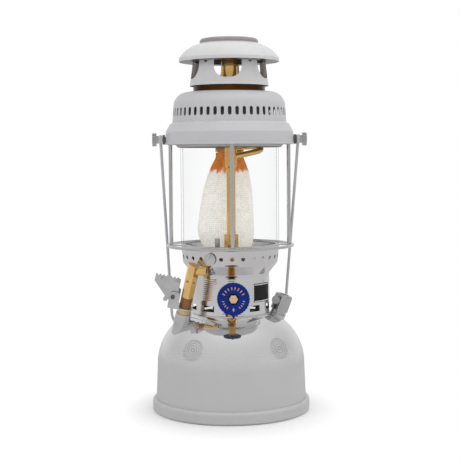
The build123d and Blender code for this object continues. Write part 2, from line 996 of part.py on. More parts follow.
def make_vaporizer_tube():
    block_base = vapor_top - block_height
    corners = [
        (0, valve_top),
        (vapor_radius, valve_top),
        (vapor_radius, block_base),
        (block_radius, block_base + block_radius - vapor_radius),
        (block_radius, vapor_top),
        (0, vapor_top),
    ]
    tube = valve_place * turned(corners)
    low = vapor_top - loop_drop
    high = vapor_top - loop_top
    limit = glass_radius - glass_wall - loop_radius - loop_gap
    reach = sqrt(limit**2 - vapor_offset**2)
    points = [
        (0, -vapor_offset, low),
        (reach, -vapor_offset, low + loop_climb),
        (reach, -vapor_offset + loop_depth, high),
        (0, -vapor_offset, high - loop_radius / 2),
    ]
    loop = swept(points, [loop_round, loop_round], loop_radius)
    bore = valve_place * post(vapor_bore, valve_top - sheet, vapor_top + sheet)
    return (tube + loop) - bore


def make_vaporizer_nut():
    body = prism(6, vapor_nut_across, valve_top, valve_top + vapor_nut_height)
    bore = post(vapor_radius + fit_gap, valve_top - sheet, valve_top + vapor_nut_height + sheet)
    return valve_place * (body - bore)


def make_jet_nozzle():
    spigot = vapor_bore - fit_gap
    depth = jet_height / 2
    corners = [
        (jet_bore, vapor_top - depth),
        (spigot, vapor_top - depth),
        (spigot, vapor_top),
        (jet_radius, vapor_top),
        (jet_radius, vapor_top + jet_height / 2),
        (jet_radius / 2, vapor_top + jet_height),
        (jet_bore, vapor_top + jet_height),
    ]
    return valve_place * turned(corners)


def make_valve_body():
    low = valve_base - valve_spigot_depth
    flange_top = valve_base + valve_flange_height
    bore_base = spindle_height - cam_throw - yoke_height
    bore_top = spindle_height + cam_throw + yoke_height
    spigot = post(valve_spigot_radius, low, flange_top)
    flange = (valve_place * post(valve_flange_radius, shoulder_height, flange_top)) - tank_outside
    body = post(valve_radius, flange_top - sheet, bore_top + sheet)
    neck = post(valve_neck_radius, bore_top, valve_top)
    gland = bar((0, 0, spindle_height), (0, -gland_reach, spindle_height), gland_radius)
    cavity = post(chamber_bore, bore_base, bore_top)
    rod_bore = post(vapor_bore, bore_base, valve_top + sheet)
    fuel = post(fuel_bore, low - sheet, bore_base + sheet)
    spindle = bar((0, 0, spindle_height), (0, -2 * gland_reach, spindle_height), spindle_radius + shaft_gap)
    solid = valve_place * ((spigot + body + neck + gland) - cavity - rod_bore - fuel - spindle)
    return solid + (flange - valve_place * post(chamber_bore, low, bore_top))


def make_suction_pipe():
    top = valve_base - valve_spigot_depth
    foot = base_ledge + floor_thickness + suction_floor_gap
    corners = [
        (fuel_bore, foot),
        (strainer_radius, foot),
        (strainer_radius, foot + strainer_height),
        (suction_radius, foot + strainer_height),
        (suction_radius, top),
        (fuel_bore, top),
    ]
    return valve_place * turned(corners)


def make_pricker_rod():
    slot_half = cam_throw + cam_pin_radius + running_gap / 2
    yoke_half = slot_half + cam_pin_radius
    middle = spindle_height - cam_throw
    low = middle - yoke_height / 2
    tip = vapor_top - jet_height / 2 - 2 * cam_throw - running_gap
    depths = (-yoke_depth / 2, yoke_depth / 2)
    yoke = block((-yoke_half, yoke_half), depths, (low, low + yoke_height))
    slot_lift = cam_pin_radius + 0.25 * cam_throw
    slot_heights = (middle - slot_lift, middle + slot_lift)
    slot = block((-slot_half, slot_half), (-yoke_depth, yoke_depth), slot_heights)
    rod = post(pricker_radius, low + yoke_height, tip)
    needle = post(needle_radius, tip, tip + needle_length)
    return valve_place * ((yoke - slot) + rod + needle)


gland_end = vapor_offset + gland_reach
packing_end = gland_end + packing_nut_length
wheel_back = packing_end + wheel_stand
wheel_front = wheel_back + wheel_thickness


def make_packing_nut():
    nut = prism(6, packing_nut_across, gland_end, packing_end)
    nut = nut - post(spindle_radius + shaft_gap, gland_end - sheet, packing_end + sheet)
    return Pos(0, 0, spindle_height) * to_front * nut


def make_spindle():
    inner = vapor_offset + yoke_depth / 2 + running_gap
    cam = post(cam_radius, inner, inner + cam_thickness)
    shaft = post(spindle_radius, inner, wheel_front)
    pin = post(cam_pin_radius, vapor_offset - yoke_depth / 2, inner + cam_thickness)
    pin = Pos(0, -cam_throw, 0) * pin
    return Pos(0, 0, spindle_height) * to_front * (shaft + cam + pin)


def make_handwheel():
    disc = post(wheel_radius, wheel_back, wheel_front)
    hub = post(wheel_hub_radius, packing_end + running_gap, wheel_back + sheet)
    rim_cut = post(scallop_radius, wheel_back - sheet, wheel_front + sheet)
    scallop = Pos(0, wheel_radius + scallop_radius - scallop_depth, 0) * rim_cut
    half = pointer_reach
    tip = [(-half, -wheel_radius + half), (half, -wheel_radius + half), (0, -wheel_radius - pointer_reach)]
    pointer = extrude(Pos(0, 0, wheel_back) * make_face(Polyline(*tip, close=True)), wheel_thickness)
    recess = post(wheel_recess_radius, wheel_front - wheel_recess, wheel_front + sheet)
    bore = post(spindle_radius + fit_gap, packing_end, wheel_front + sheet)
    wheel = (disc - around(scallop, scallop_count, 180 / scallop_count)) + hub + pointer - recess - bore
    return Pos(0, 0, spindle_height) * to_front * wheel


def make_handwheel_nut():
    low = wheel_front - wheel_recess
    nut = prism(6, wheel_nut_across, low, low + wheel_nut_height)
    nut = nut - post(spindle_radius + fit_gap, low - sheet, wheel_front)
    return Pos(0, 0, spindle_height) * to_front * nut


# Preheat bowl and spout

def make_preheat_bowl():
    top = chamber_base - mantle_gap - mantle_length - bowl_gap
    low = top - bowl_depth
    inner = bowl_radius - sheet
    corners = [
        (0, low),
        (bowl_radius, low),
        (bowl_radius, top),
        (inner, top),
        (inner, low + sheet),
        (0, low + sheet),
    ]
    bowl_offset = flare_radius - bowl_inset
    cup = Pos(-bowl_offset, 0, 0) * turned(corners)
    half = bowl_arm_width / 2
    arm = block((-gallery_rim_radius, -bowl_offset), (-half, half), (low, low + sheet))
    arm = arm & gallery_cavity
    return cup + arm


def make_preheat_spout():
    top = gallery_top + spout_top_rise
    spout_y = spout_corner.Y
    start = torch_tip + spout_way * (spout_radius + 3 * running_gap)
    points = [start, spout_corner, (spout_x, spout_y, top)]
    pipe = swept(points, [2 * spout_radius], spout_radius)
    heights = (valve_top - 3 * spout_radius, valve_top - 2 * spout_radius)
    half = spout_radius
    clip = block((spout_x, 0), (spout_y - half / 2, spout_y + half), heights)
    neck = valve_place * post(valve_neck_radius, heights[0] - sheet, heights[1] + sheet)
    return pipe + (clip - neck - valve_place * post(valve_neck_radius / 2, shoulder_height, top))


# Torch preheater, in its own leaning frame

pin_x = -pin_offset
pin_z = stem_base + pin_rise


def make_preheater_base():
    deep = -heater_spigot_depth
    foot_base = -heater_boss_foot
    rise = heater_boss_height - foot_base
    foot = Solid.make_cone(heater_boss_foot, heater_boss_radius, rise, Plane((0, 0, foot_base)))
    boss = (heater_place * foot) - tank_outside
    spigot = heater_place * post(heater_spigot_radius, deep, heater_boss_height - sheet)
    well_base = heater_boss_height - heater_plate * 2
    well = heater_place * post(heater_spigot_radius + fit_gap, well_base, heater_boss_height + sheet)
    bore = heater_place * post(heater_bore, deep - sheet, heater_boss_height + sheet)
    return (boss + spigot) - well - bore


def make_preheater_body():
    well_base = heater_boss_height - heater_plate * 2
    corners = [
        (0, well_base),
        (heater_spigot_radius, well_base),
        (heater_spigot_radius, heater_boss_height),
        (heater_ring_radius, heater_boss_height),
        (heater_ring_radius, heater_seat),
        (heater_spigot_radius, heater_seat),
        (heater_spigot_radius, stem_base),
        (heater_stem_radius, stem_base),
        (heater_stem_radius, torch_base),
        (0, torch_base),
    ]
    torch = Rot(0, 0, torch_turn) * prism(6, torch_across, torch_base, torch_top + torch_across / 2)
    for side in (-torch_hole_offset, torch_hole_offset):
        rise = torch_base + torch_hole_rise
        torch = torch - bar((side, -torch_across, rise), (side, -torch_across / 6, rise), torch_hole_radius)
    spread = (-torch_height, torch_height)
    slope = Pos(0, 0, torch_top) * Rot(0, torch_slope, 0) * block(spread, spread, (0, torch_height))
    bore = post(heater_bore, 0, torch_base - heater_plate)
    upright = heater_place * ((turned(corners) + (torch - slope)) - bore)
    arm = bar(torch_arm_start, torch_tip, torch_tip_radius)
    inside = bar(torch_tip - torch_way * torch_tip_radius, torch_tip + torch_way, torch_tip_bore)
    return upright + (arm - inside)


def make_preheater_bracket():
    tongue = pin_offset + cheek_back
    half = cheek_offset + cheek_thickness
    plate = post(heater_boss_radius, heater_seat, stem_base)
    plate = plate + block((-tongue, 0), (-half, half), (heater_seat, stem_base))
    top = pin_z + cheek_rise
    cheek_end = -heater_ring_radius - running_gap
    corners = [(-tongue, heater_seat), (cheek_end, heater_seat), (cheek_end, top), (-tongue, top)]
    bow = (cheek_end + tongue) / 3
    cheek = make_face(FilletPolyline(*corners, radius=[0, 0, bow, bow], close=True))
    for side in (-half, cheek_offset):
        plate = plate + front_cut(cheek, side, side + cheek_thickness)
    pin_hole = bar((pin_x, -2 * half, pin_z), (pin_x, 2 * half, pin_z), pin_radius + fit_gap)
    return heater_place * (plate - post(heater_spigot_radius + fit_gap, 0, stem_base + sheet) - pin_hole)


def make_preheater_pin():
    reach = cheek_offset + cheek_thickness + running_gap
    pin = bar((pin_x, -reach, pin_z), (pin_x, reach, pin_z), pin_radius)
    for side in (-1, 1):
        head = bar((pin_x, side * reach, pin_z), (pin_x, side * (reach + pin_head), pin_z), pin_head_radius)
        pin = pin + head
    return heater_place * pin


def make_preheater_lever():
    top = pin_z + lever_rise
    left = pin_x - lever_back
    right = pin_x + lever_front
    curl_x = pin_x - curl_reach
    curl_z = pin_z - curl_drop
    corners = [
        (left, top),
        (right, top),
        (right, pin_z + lever_ear / 2),
        (pin_x + lever_ear, pin_z - lever_ear),
        (pin_x - lever_ear, pin_z - lever_ear),
        (curl_x, curl_z + curl_radius),
        (left, top - lever_ear / 2),
    ]
    outline = make_face(FilletPolyline(*corners, radius=[0.6, 1, 2, 3, 2, 2, 0.6], close=True))
    front = front_cut(outline, lever_gap, lever_gap + lever_thickness)
    back = front_cut(outline, -lever_gap - lever_thickness, -lever_gap)
    half = lever_gap + lever_thickness
    flange = block((left, right), (-half, half), (top - lever_flange, top))
    lever = front + back + flange
    pitch = (right - left) / lever_ridge_count
    for i in range(lever_ridge_count):
        start = left + i * pitch
        lever = lever + block((start, start + pitch / 2), (-half, half), (top - sheet, top + lever_flange))
    curl = bar((curl_x, -half, curl_z), (curl_x, -lever_gap + lever_thickness, curl_z), curl_radius)
    hole = bar((pin_x, -2 * half, pin_z), (pin_x, 2 * half, pin_z), pin_radius + shaft_gap)
    return heater_place * (lever + curl - hole)


def make_preheater_valve():
    top = torch_base - heater_plate - heater_valve_travel - running_gap
    return heater_place * post(heater_bore - shaft_gap, -heater_spigot_depth, top)


# Filler with gauge and vent screw, in its own tilted frame

cap_low = filler_neck_height - filler_skirt
cap_high = cap_low + filler_cap_height
gasket_base = filler_neck_height + running_gap
dial_base = cap_high - dial_gap - dial_thickness - gauge_glass_thickness


def make_filler_neck():
    tube = filler_place * post(filler_neck_radius, -filler_neck_depth, filler_neck_height)
    flange_top = min(filler_flange_height, cap_low) - running_gap
    flange = filler_place * post(filler_flange_radius, -filler_neck_depth, flange_top)
    bore = filler_place * post(filler_bore, -2 * filler_neck_depth, 2 * filler_neck_height)
    collar = post(collar_radius + fit_gap, shoulder_height, collar_top)
    return (tube + (flange - tank_outside - collar)) - bore


def make_filler_cap():
    grip_low = cap_low + filler_grip_rise
    grip = prism(filler_cap_sides, filler_cap_across, grip_low, cap_high)
    body = Rot(0, 0, 180 / filler_cap_sides) * grip + post(filler_skirt_radius, cap_low, grip_low + sheet)
    reach = filler_corner * filler_cap_across
    rounded = turned(
        [(0, cap_low), (reach, cap_low), (reach, cap_high), (0, cap_high)], [0, 0, filler_cap_round, 0]
    )
    skirt_bore = post(filler_neck_radius + running_gap, cap_low - sheet, gasket_base + gasket_thickness)
    dial_recess = post(dial_radius + fit_gap, dial_base, cap_high + sheet)
    return filler_place * ((body & rounded) - skirt_bore - dial_recess - vent_hole())


def vent_frame():
    """Frame of the vent screw, its Z axis pointing out of a flat of the cap."""
    return Rot(0, 0, vent_turn) * Pos(0, -filler_cap_across / 2, cap_low + vent_rise) * to_front


def vent_hole():
    return vent_frame() * post(vent_shank_radius + shaft_gap, -vent_shank - running_gap, vent_shank)


def make_filler_gasket():
    inner = filler_bore + running_gap
    outer = filler_neck_radius + running_gap - fit_gap
    top = gasket_base + gasket_thickness
    return filler_place * turned([(inner, gasket_base), (outer, gasket_base), (outer, top), (inner, top)])


def make_gauge_dial():
    return filler_place * post(dial_radius, dial_base, dial_base + dial_thickness)


def make_gauge_pointer():
    low = dial_base + dial_thickness + (dial_gap - pointer_thickness) / 2
    hub = post(1.5 * pointer_width, low, low + pointer_thickness)
    half = pointer_width / 2
    hand = block((-half, half), (0, pointer_length), (low, low + pointer_thickness))
    return filler_place * (hub + hand)


def make_gauge_glass():
    return filler_place * post(dial_radius, cap_high - gauge_glass_thickness, cap_high)


def make_vent_screw():
    head = post(vent_head_radius, running_gap, running_gap + vent_head)
    knurl = Pos(0, vent_head_radius, 0) * post(knurl_radius / 2, 0, 2 * vent_head)
    shank = post(vent_shank_radius, -vent_shank, running_gap + sheet)
    return filler_place * vent_frame() * (head - around(knurl, knurl_count) + shank)


# Pump, in its own tilted frame

barrel_low = -barrel_depth
pump_cap_low = barrel_rise
pump_cap_top = pump_cap_low + pump_cap_height
knob_low = pump_cap_top + running_gap


def make_pump_barrel():
    bore = barrel_radius - barrel_wall
    tube = post(barrel_radius, barrel_low, barrel_rise)
    hollow = post(bore, barrel_low + 2 * barrel_wall, barrel_rise + sheet)
    outlet = post(check_radius / 2, barrel_low - sheet, barrel_low + 3 * barrel_wall)
    flange = (pump_place * post(pump_flange_radius, -2 * barrel_radius, pump_flange_height)) - tank_outside
    flange = flange - pump_place * post(bore, -3 * barrel_radius, barrel_rise + sheet)
    return (pump_place * (tube - hollow - outlet)) + flange


def make_pump_cap():
    cap = post(pump_cap_radius, pump_cap_low, pump_cap_top)
    knurl = Pos(0, pump_cap_radius, 0) * post(knurl_radius, pump_cap_low - sheet, pump_cap_top + sheet)
    bore = post(pump_rod_radius + shaft_gap, pump_cap_low - sheet, pump_cap_top + sheet)
    return pump_place * (cap - around(knurl, knurl_count) - bore)


def make_pump_rod():
    low = barrel_low + 4 * barrel_wall
    return pump_place * post(pump_rod_radius, low, knob_low + pump_knob_height / 2)


def make_pump_knob():
    top = knob_low + pump_knob_height
    waist = 0.7 * pump_knob_radius
    corners = [
        (0, knob_low),
        (waist, knob_low),
        (waist, knob_low + pump_knob_height / 3),
        (pump_knob_radius, knob_low + pump_knob_height / 2),
        (pump_knob_radius, top),
        (0, top),
    ]
    rounds = [0, 0.5, 1, 1, 0.25 * pump_knob_height, 0]
    bore = post(pump_rod_radius + fit_gap, knob_low - sheet, knob_low + pump_knob_height / 2)
    return pump_place * (turned(corners, rounds) - bore)


def make_pump_leather():
    low = barrel_low + 4 * barrel_wall
    outer = barrel_radius - barrel_wall - running_gap
    inner = pump_rod_radius + fit_gap
    top = low + leather_height
    return pump_place * turned([(inner, low), (outer, low), (outer, top), (inner, top)])


def make_check_valve():
    low = barrel_low - check_height
    corners = [
        (0, low),
        (check_radius / 2, low),
        (check_radius, low + check_radius / 2),
        (check_radius, barrel_low),
        (0, barrel_low),
    ]
    return pump_place * turned(corners)


# Bail and its pivots

def bail_lean():
    """Angle from straight down at which the hanging bail comes to rest on the tank."""
    for step in range(10, 360):
        lean = radians(step / 4)
        across = bail_length * sin(lean)
        height = pivot_height - bail_length * cos(lean)
        gap = hypot(across - dome_centre, height - shoulder_height) - dome_radius - bail_wire / 2
        if across > dome_centre and gap > bail_rest_gap:
            return step / 4


def make_bail():
    drop = eye_radius - bail_wire / 4
    bail_foot_half = hood_radius - bail_inset
    points = [
        (-eye_middle, 0, -drop),
        (-bail_foot_half, 0, -bail_length),
        (bail_foot_half, 0, -bail_length),
        (eye_middle, 0, -drop),
    ]
    wire = swept(points, [bail_corner, bail_corner], bail_wire / 2)
    loop = wire
    for side in (-1, 1):
        start = side * eye_start
        end = side * (eye_start + eye_thickness)
        loop = loop + bar((start, 0, 0), (end, 0, 0), eye_radius)
        loop = loop - bar((start / 2, 0, 0), (end * 2, 0, 0), stud_radius + shaft_gap)
    return Pos(0, 0, pivot_height) * Rot(bail_lean(), 0, 0) * loop


def make_pivot_studs():
    end = thumb_start + thumb_thickness / 2
    stud = Pos(0, 0, pivot_height) * to_x * post(stud_radius, rod_circle - 2 * rod_radius, end)
    return Compound([stud, Rot(0, 0, 180) * stud])


def make_hood_nuts():
    end = hood_radius + hood_nut_thickness
    nut = prism(6, hood_nut_across, hood_radius + lip_depth + fit_gap, end)
    nut = nut + post(hood_nut_shoulder, hood_radius, end)
    nut = nut - post(stud_radius + fit_gap, hood_radius - sheet, end + sheet)
    nut = Pos(0, 0, pivot_height) * to_x * nut
    return Compound([nut, Rot(0, 0, 180) * nut])


def make_thumb_nut(turn):
    end = thumb_start + thumb_thickness
    head = post(thumb_radius, thumb_start, end)
    knurl = Pos(0, thumb_radius, 0) * post(knurl_radius, thumb_start - sheet, end + sheet)
    collar = post(thumb_collar_radius, collar_start, thumb_start + sheet)
    bore_end = thumb_start + thumb_thickness / 2 + running_gap
    bore = post(stud_radius + shaft_gap, collar_start - sheet, bore_end)
    nut = (head - around(knurl, knurl_count)) + collar - bore
    return Rot(0, 0, turn) * Pos(0, 0, pivot_height) * to_x * nut


makers = {
    "tank_shell": make_tank_shell,
    "tank_floor": make_tank_floor,
    "base_ring": make_base_ring,
    "tank_collar": make_tank_collar,
    "shroud": make_shroud,
    "gallery": make_gallery,
    "match_cover": make_match_cover,
    "match_cover_rivet": make_match_cover_rivet,
    "cage_ring": make_cage_ring,
    "cage_brackets": make_cage_brackets,
    "cage_rods": make_cage_rods,
    "glass_chimney": make_glass_chimney,
    "hood_shell": make_hood_shell,
    "hood_inner_casing": make_hood_inner_casing,
    "chimney_collar": make_chimney_collar,
    "crown": make_crown,
    "crown_struts": make_crown_struts,
    "cap": make_cap,
    "cap_ring": make_cap_ring,
    "mixing_tube": make_mixing_tube,
    "gas_chamber": make_gas_chamber,
    "burner_bracket": make_burner_bracket,
    "ceramic_nozzle": make_ceramic_nozzle,
    "mantle": make_mantle,
    "vaporizer_tube": make_vaporizer_tube,
    "vaporizer_nut": make_vaporizer_nut,
    "jet_nozzle": make_jet_nozzle,
    "valve_body": make_valve_body,
    "suction_pipe": make_suction_pipe,
    "pricker_rod": make_pricker_rod,
    "packing_nut": make_packing_nut,
    "spindle": make_spindle,
    "handwheel": make_handwheel,
    "handwheel_nut": make_handwheel_nut,
    "preheat_bowl": make_preheat_bowl,
    "preheat_spout": make_preheat_spout,
    "preheater_base": make_preheater_base,
    "preheater_body": make_preheater_body,
    "preheater_bracket": make_preheater_bracket,
    "preheater_pin": make_preheater_pin,
    "preheater_lever": make_preheater_lever,
    "preheater_valve": make_preheater_valve,
    "filler_neck": make_filler_neck,
    "filler_cap": make_filler_cap,
    "filler_gasket": make_filler_gasket,
    "gauge_dial": make_gauge_dial,
    "gauge_pointer": make_gauge_pointer,
    "gauge_glass": make_gauge_glass,
    "vent_screw": make_vent_screw,
    "pump_barrel": make_pump_barrel,
    "pump_cap": make_pump_cap,
    "pump_rod": make_pump_rod,
    "pump_knob": make_pump_knob,
    "pump_leather": make_pump_leather,
    "check_valve": make_check_valve,
    "bail": make_bail,
    "pivot_studs": make_pivot_studs,
    "hood_nuts": make_hood_nuts,
    "thumb_nut_right": lambda: make_thumb_nut(0),
    "thumb_nut_left": lambda: make_thumb_nut(180),
}

for node, maker in makers.items():
    export_step(maker(), f"parts/{node}.step")


def axis_of(frame):
    """Point and direction of a frame's Z axis."""
    point = frame.position
    way = (frame * Pos(0, 0, 1)).position - point
    return [round(v, 4) for v in point], [round(v, 5) for v in way]


# Places and directions of the joints
print("bail pivot height", round(pivot_height, 4), "lean", bail_lean())
print("spindle height", round(spindle_height, 4))
print("filler axis", axis_of(filler_place))
print("vent screw axis", axis_of(filler_place * vent_frame()))
print("pump axis", axis_of(pump_place))
print("preheater axis", axis_of(heater_place))
print("preheater pin", axis_of(heater_place * Pos(pin_x, 0, pin_z) * to_front))
cover_pivot_height = air_hole_height + cover_pivot_rise
print("match cover pivot", axis_of(place(match_azimuth, gallery_rim_radius, cover_pivot_height) * to_front))
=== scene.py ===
import math

import bpy
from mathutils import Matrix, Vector


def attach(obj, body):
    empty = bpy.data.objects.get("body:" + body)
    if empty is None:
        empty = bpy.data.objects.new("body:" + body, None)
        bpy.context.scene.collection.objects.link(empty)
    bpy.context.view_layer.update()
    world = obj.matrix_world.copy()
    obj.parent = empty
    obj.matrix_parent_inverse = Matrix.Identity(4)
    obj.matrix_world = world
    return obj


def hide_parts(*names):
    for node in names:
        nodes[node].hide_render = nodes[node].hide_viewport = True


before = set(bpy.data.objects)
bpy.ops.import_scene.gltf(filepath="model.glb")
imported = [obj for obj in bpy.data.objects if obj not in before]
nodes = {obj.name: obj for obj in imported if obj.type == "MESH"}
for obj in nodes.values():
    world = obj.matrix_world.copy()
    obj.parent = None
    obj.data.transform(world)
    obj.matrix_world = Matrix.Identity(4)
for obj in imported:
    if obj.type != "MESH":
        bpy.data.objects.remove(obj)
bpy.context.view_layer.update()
scene = bpy.context.scene
MM = 0.001

# Sizes of the solids that the looks and added pieces follow, in millimetres
DOME_CENTRE = 20.6
DOME_RADIUS = 60.0
SHOULDER_HEIGHT = 50.6
SHROUD_SKIN = 42.92
SHROUD_INSIDE = 41.8
WHEEL_FACE = -80.0
WHEEL_HEIGHT = 130.433
WHEEL_RECESS = 5.6
WHEEL_BACK = -77.6
HUB_FRONT = -74.45
TORCH_FOOT = (-54.58, -26.033, 95.437)
TORCH_WAY = (0.20923, -0.25046, 0.94525)
TORCH_BASE = 34.4
TORCH_PLATE = 21.0
DISC_BASE = 397.93
CASING_BASE = 286.33


# Node helpers

BLOTCH_RANGE = (0.3, 0.7)
BLOTCH_DETAIL = 3.0


def new_material(name):
    """Empty node material with its output node."""
    material = bpy.data.materials.new(name)
    material.use_nodes = True
    tree = material.node_tree
    tree.nodes.clear()
    output = tree.nodes.new("ShaderNodeOutputMaterial")
    return material, tree, output


def principled(name):
    """New material with a principled shader, its tree and the shader."""
    material, tree, output = new_material(name)
    shader = tree.nodes.new("ShaderNodeBsdfPrincipled")
    tree.links.new(shader.outputs["BSDF"], output.inputs["Surface"])
    return material, tree, shader


def put(tree, socket, value):
    """Link a socket to another one, or give it a plain value."""
    if isinstance(value, bpy.types.NodeSocket):
        tree.links.new(value, socket)
    else:
        socket.default_value = value


def coordinates(tree):
    """Coordinate sockets: the place in the row frame is the one called Object."""
    return tree.nodes.new("ShaderNodeTexCoord").outputs


def split_axes(tree, vector):
    """A vector socket split into its axes."""
    node = tree.nodes.new("ShaderNodeSeparateXYZ")
    tree.links.new(vector, node.inputs["Vector"])
    return node.outputs


def noise_node(tree, scale, detail, stretch=(1, 1, 1)):
    """Noise in the row frame, stretched along the axes."""
    mapping = tree.nodes.new("ShaderNodeMapping")
    mapping.inputs["Scale"].default_value = stretch
    tree.links.new(coordinates(tree)["Object"], mapping.inputs["Vector"])
    noise = tree.nodes.new("ShaderNodeTexNoise")
    noise.inputs["Scale"].default_value = scale
    noise.inputs["Detail"].default_value = detail
    tree.links.new(mapping.outputs["Vector"], noise.inputs["Vector"])
    return noise.outputs["Fac"]


def map_range(tree, value, low, high, to_low=0.0, to_high=1.0):
    """Value mapped from one range to another, clamped."""
    node = tree.nodes.new("ShaderNodeMapRange")
    node.inputs["From Min"].default_value = low
    node.inputs["From Max"].default_value = high
    node.inputs["To Min"].default_value = to_low
    node.inputs["To Max"].default_value = to_high
    tree.links.new(value, node.inputs["Value"])
    return node.outputs["Result"]


def between(tree, share, low, high):
    """Number between two others, by a share from 0 to 1."""
    return map_range(tree, share, 0.0, 1.0, low, high)


def blotches(tree, scale):
    """Blotchy noise for tones and roughness."""
    return noise_node(tree, scale, BLOTCH_DETAIL)


def spread_noise(tree, noise, low=0.0, high=1.0):
    """Noise spread over a range."""
    return map_range(tree, noise, *BLOTCH_RANGE, low, high)


def mix_colors(tree, factor, first, second):
    """Mix of two colours by a factor socket."""
    node = tree.nodes.new("ShaderNodeMix")
    node.data_type = "RGBA"
    tree.links.new(factor, node.inputs["Factor"])
    for socket, color in ((node.inputs[6], first), (node.inputs[7], second)):
        if isinstance(color, tuple):
            color = (*color, 1)
        put(tree, socket, color)
    return node.outputs[2]


def mix_shaders(tree, factor, first, second):
    """Mix of two shaders by a factor, a socket or a number."""
    node = tree.nodes.new("ShaderNodeMixShader")
    put(tree, node.inputs["Fac"], factor)
    tree.links.new(first, node.inputs[1])
    tree.links.new(second, node.inputs[2])
    return node.outputs["Shader"]


def math_node(tree, operation, *values):
    """Result of an operation on numbers and sockets."""
    node = tree.nodes.new("ShaderNodeMath")
    node.operation = operation
    for i, value in enumerate(values):
        put(tree, node.inputs[i], value)
    return node.outputs["Value"]


def vector_node(tree, operation, *values):
    """Result sockets of an operation on vectors."""
    node = tree.nodes.new("ShaderNodeVectorMath")
    node.operation = operation
    for i, value in enumerate(values):
        put(tree, node.inputs[i], value)
    return node.outputs


def vector_length(tree, vector):
    """Length of a vector socket."""
    return vector_node(tree, "LENGTH", vector)["Value"]


def bump(tree, shader, height, strength, distance):
    """Bump of a shader by a height socket."""
    node = tree.nodes.new("ShaderNodeBump")
    node.inputs["Strength"].default_value = strength
    node.inputs["Distance"].default_value = distance
    tree.links.new(height, node.inputs["Height"])
    tree.links.new(node.outputs["Normal"], shader.inputs["Normal"])


def color_ramp(tree, value, stops):
    """Colours by a value, from stops of position and colour in rising order."""
    node = tree.nodes.new("ShaderNodeValToRGB")
    tree.links.new(value, node.inputs["Fac"])
    elements = node.color_ramp.elements
    for element, (position, color) in zip(elements, (stops[0], stops[-1])):
        element.position = position
        element.color = (*color, 1)
    for position, color in stops[1:-1]:
        elements.new(position).color = (*color, 1)
    return node.outputs["Color"]


# Materials

SHADE = 0.93
COAT_ROUGHNESS = 0.08
GRAIN_SCALE = 900.0
GRAIN_DETAIL = 2.0
GRAIN_DEPTH = 0.0002
LEAST_ROUGHNESS = 0.02


def surface(name, color, other, metallic, roughness,
            spread=0.04, grain=0.0, blotch_scale=40.0, coat=0.0, specular=0.5):
    """Principled surface whose colour and roughness wander a little, with a fine grain."""
    material, tree, shader = principled(name)
    shader.inputs["Metallic"].default_value = metallic
    shader.inputs["Coat Weight"].default_value = coat
    shader.inputs["Coat Roughness"].default_value = COAT_ROUGHNESS
    shader.inputs["Specular IOR Level"].default_value = specular
    blotch = blotches(tree, blotch_scale)
    tone = spread_noise(tree, blotch)
    other = other or tuple(SHADE * c for c in color)
    tree.links.new(mix_colors(tree, tone, color, other), shader.inputs["Base Color"])
    smoothest = max(roughness - spread, LEAST_ROUGHNESS)
    rough = spread_noise(tree, blotch, smoothest, roughness + spread)
    tree.links.new(rough, shader.inputs["Roughness"])
    if grain:
        fine = noise_node(tree, GRAIN_SCALE, GRAIN_DETAIL)
        bump(tree, shader, fine, grain, GRAIN_DEPTH)
    return material


POLISH_HEIGHTS = (0.052, 0.080)
TANK_WALL = ((0.535, 0.533, 0.535), (0.52, 0.518, 0.52))
TANK_DOME = ((0.88, 0.88, 0.885), (0.86, 0.86, 0.865))
TANK_METALLIC = (0.2, 0.96)
TANK_ROUGHNESS = (0.42, 0.07)
TANK_BLOTCH_SCALE = 30.0


def tank_surface():
    """Pale plate: satin on the wall, mirror bright on the dome."""
    material, tree, shader = principled("tank_plate")
    height = split_axes(tree, coordinates(tree)["Object"])["Z"]
    polish = map_range(tree, height, *POLISH_HEIGHTS)
    polish.node.interpolation_type = "SMOOTHSTEP"
    tree.links.new(between(tree, polish, *TANK_METALLIC), shader.inputs["Metallic"])
    tree.links.new(between(tree, polish, *TANK_ROUGHNESS), shader.inputs["Roughness"])
    tone = spread_noise(tree, blotches(tree, TANK_BLOTCH_SCALE))
    wall = mix_colors(tree, tone, *TANK_WALL)
    dome = mix_colors(tree, tone, *TANK_DOME)
    tree.links.new(mix_colors(tree, polish, wall, dome), shader.inputs["Base Color"])
    return material


BAND_EDGE = 0.1
BAND_SHADE = 0.94
BAND_BLOTCH_SCALE = 40.0
BAND_SPREAD = 0.04


def banded_surface(name, height, below, above, metallic, roughness):
    """Surface of one colour below a height and of another above it."""
    material, tree, shader = principled(name)
    shader.inputs["Metallic"].default_value = metallic
    up = split_axes(tree, coordinates(tree)["Object"])["Z"]
    side = map_range(tree, up, (height - BAND_EDGE) * MM, (height + BAND_EDGE) * MM)
    blotch = blotches(tree, BAND_BLOTCH_SCALE)
    tone = spread_noise(tree, blotch)
    low = mix_colors(tree, tone, below, tuple(BAND_SHADE * c for c in below))
    high = mix_colors(tree, tone, above, tuple(BAND_SHADE * c for c in above))
    tree.links.new(mix_colors(tree, side, low, high), shader.inputs["Base Color"])
    rough = spread_noise(tree, blotch, roughness - BAND_SPREAD, roughness + BAND_SPREAD)
    tree.links.new(rough, shader.inputs["Roughness"])
    return material


SHROUD_EDGE = 0.1
SHROUD_BRIGHT = ((0.86, 0.855, 0.86), (0.81, 0.805, 0.81))
# Painted shade: the dark colour of the shroud's inside stands in for the shade in there.
SHROUD_PAINTED_SHADE = ((0.13, 0.125, 0.12), (0.07, 0.065, 0.06))
SHROUD_ROUGHNESS = (0.45, 0.17)
SHROUD_BLOTCH_SCALE = 40.0


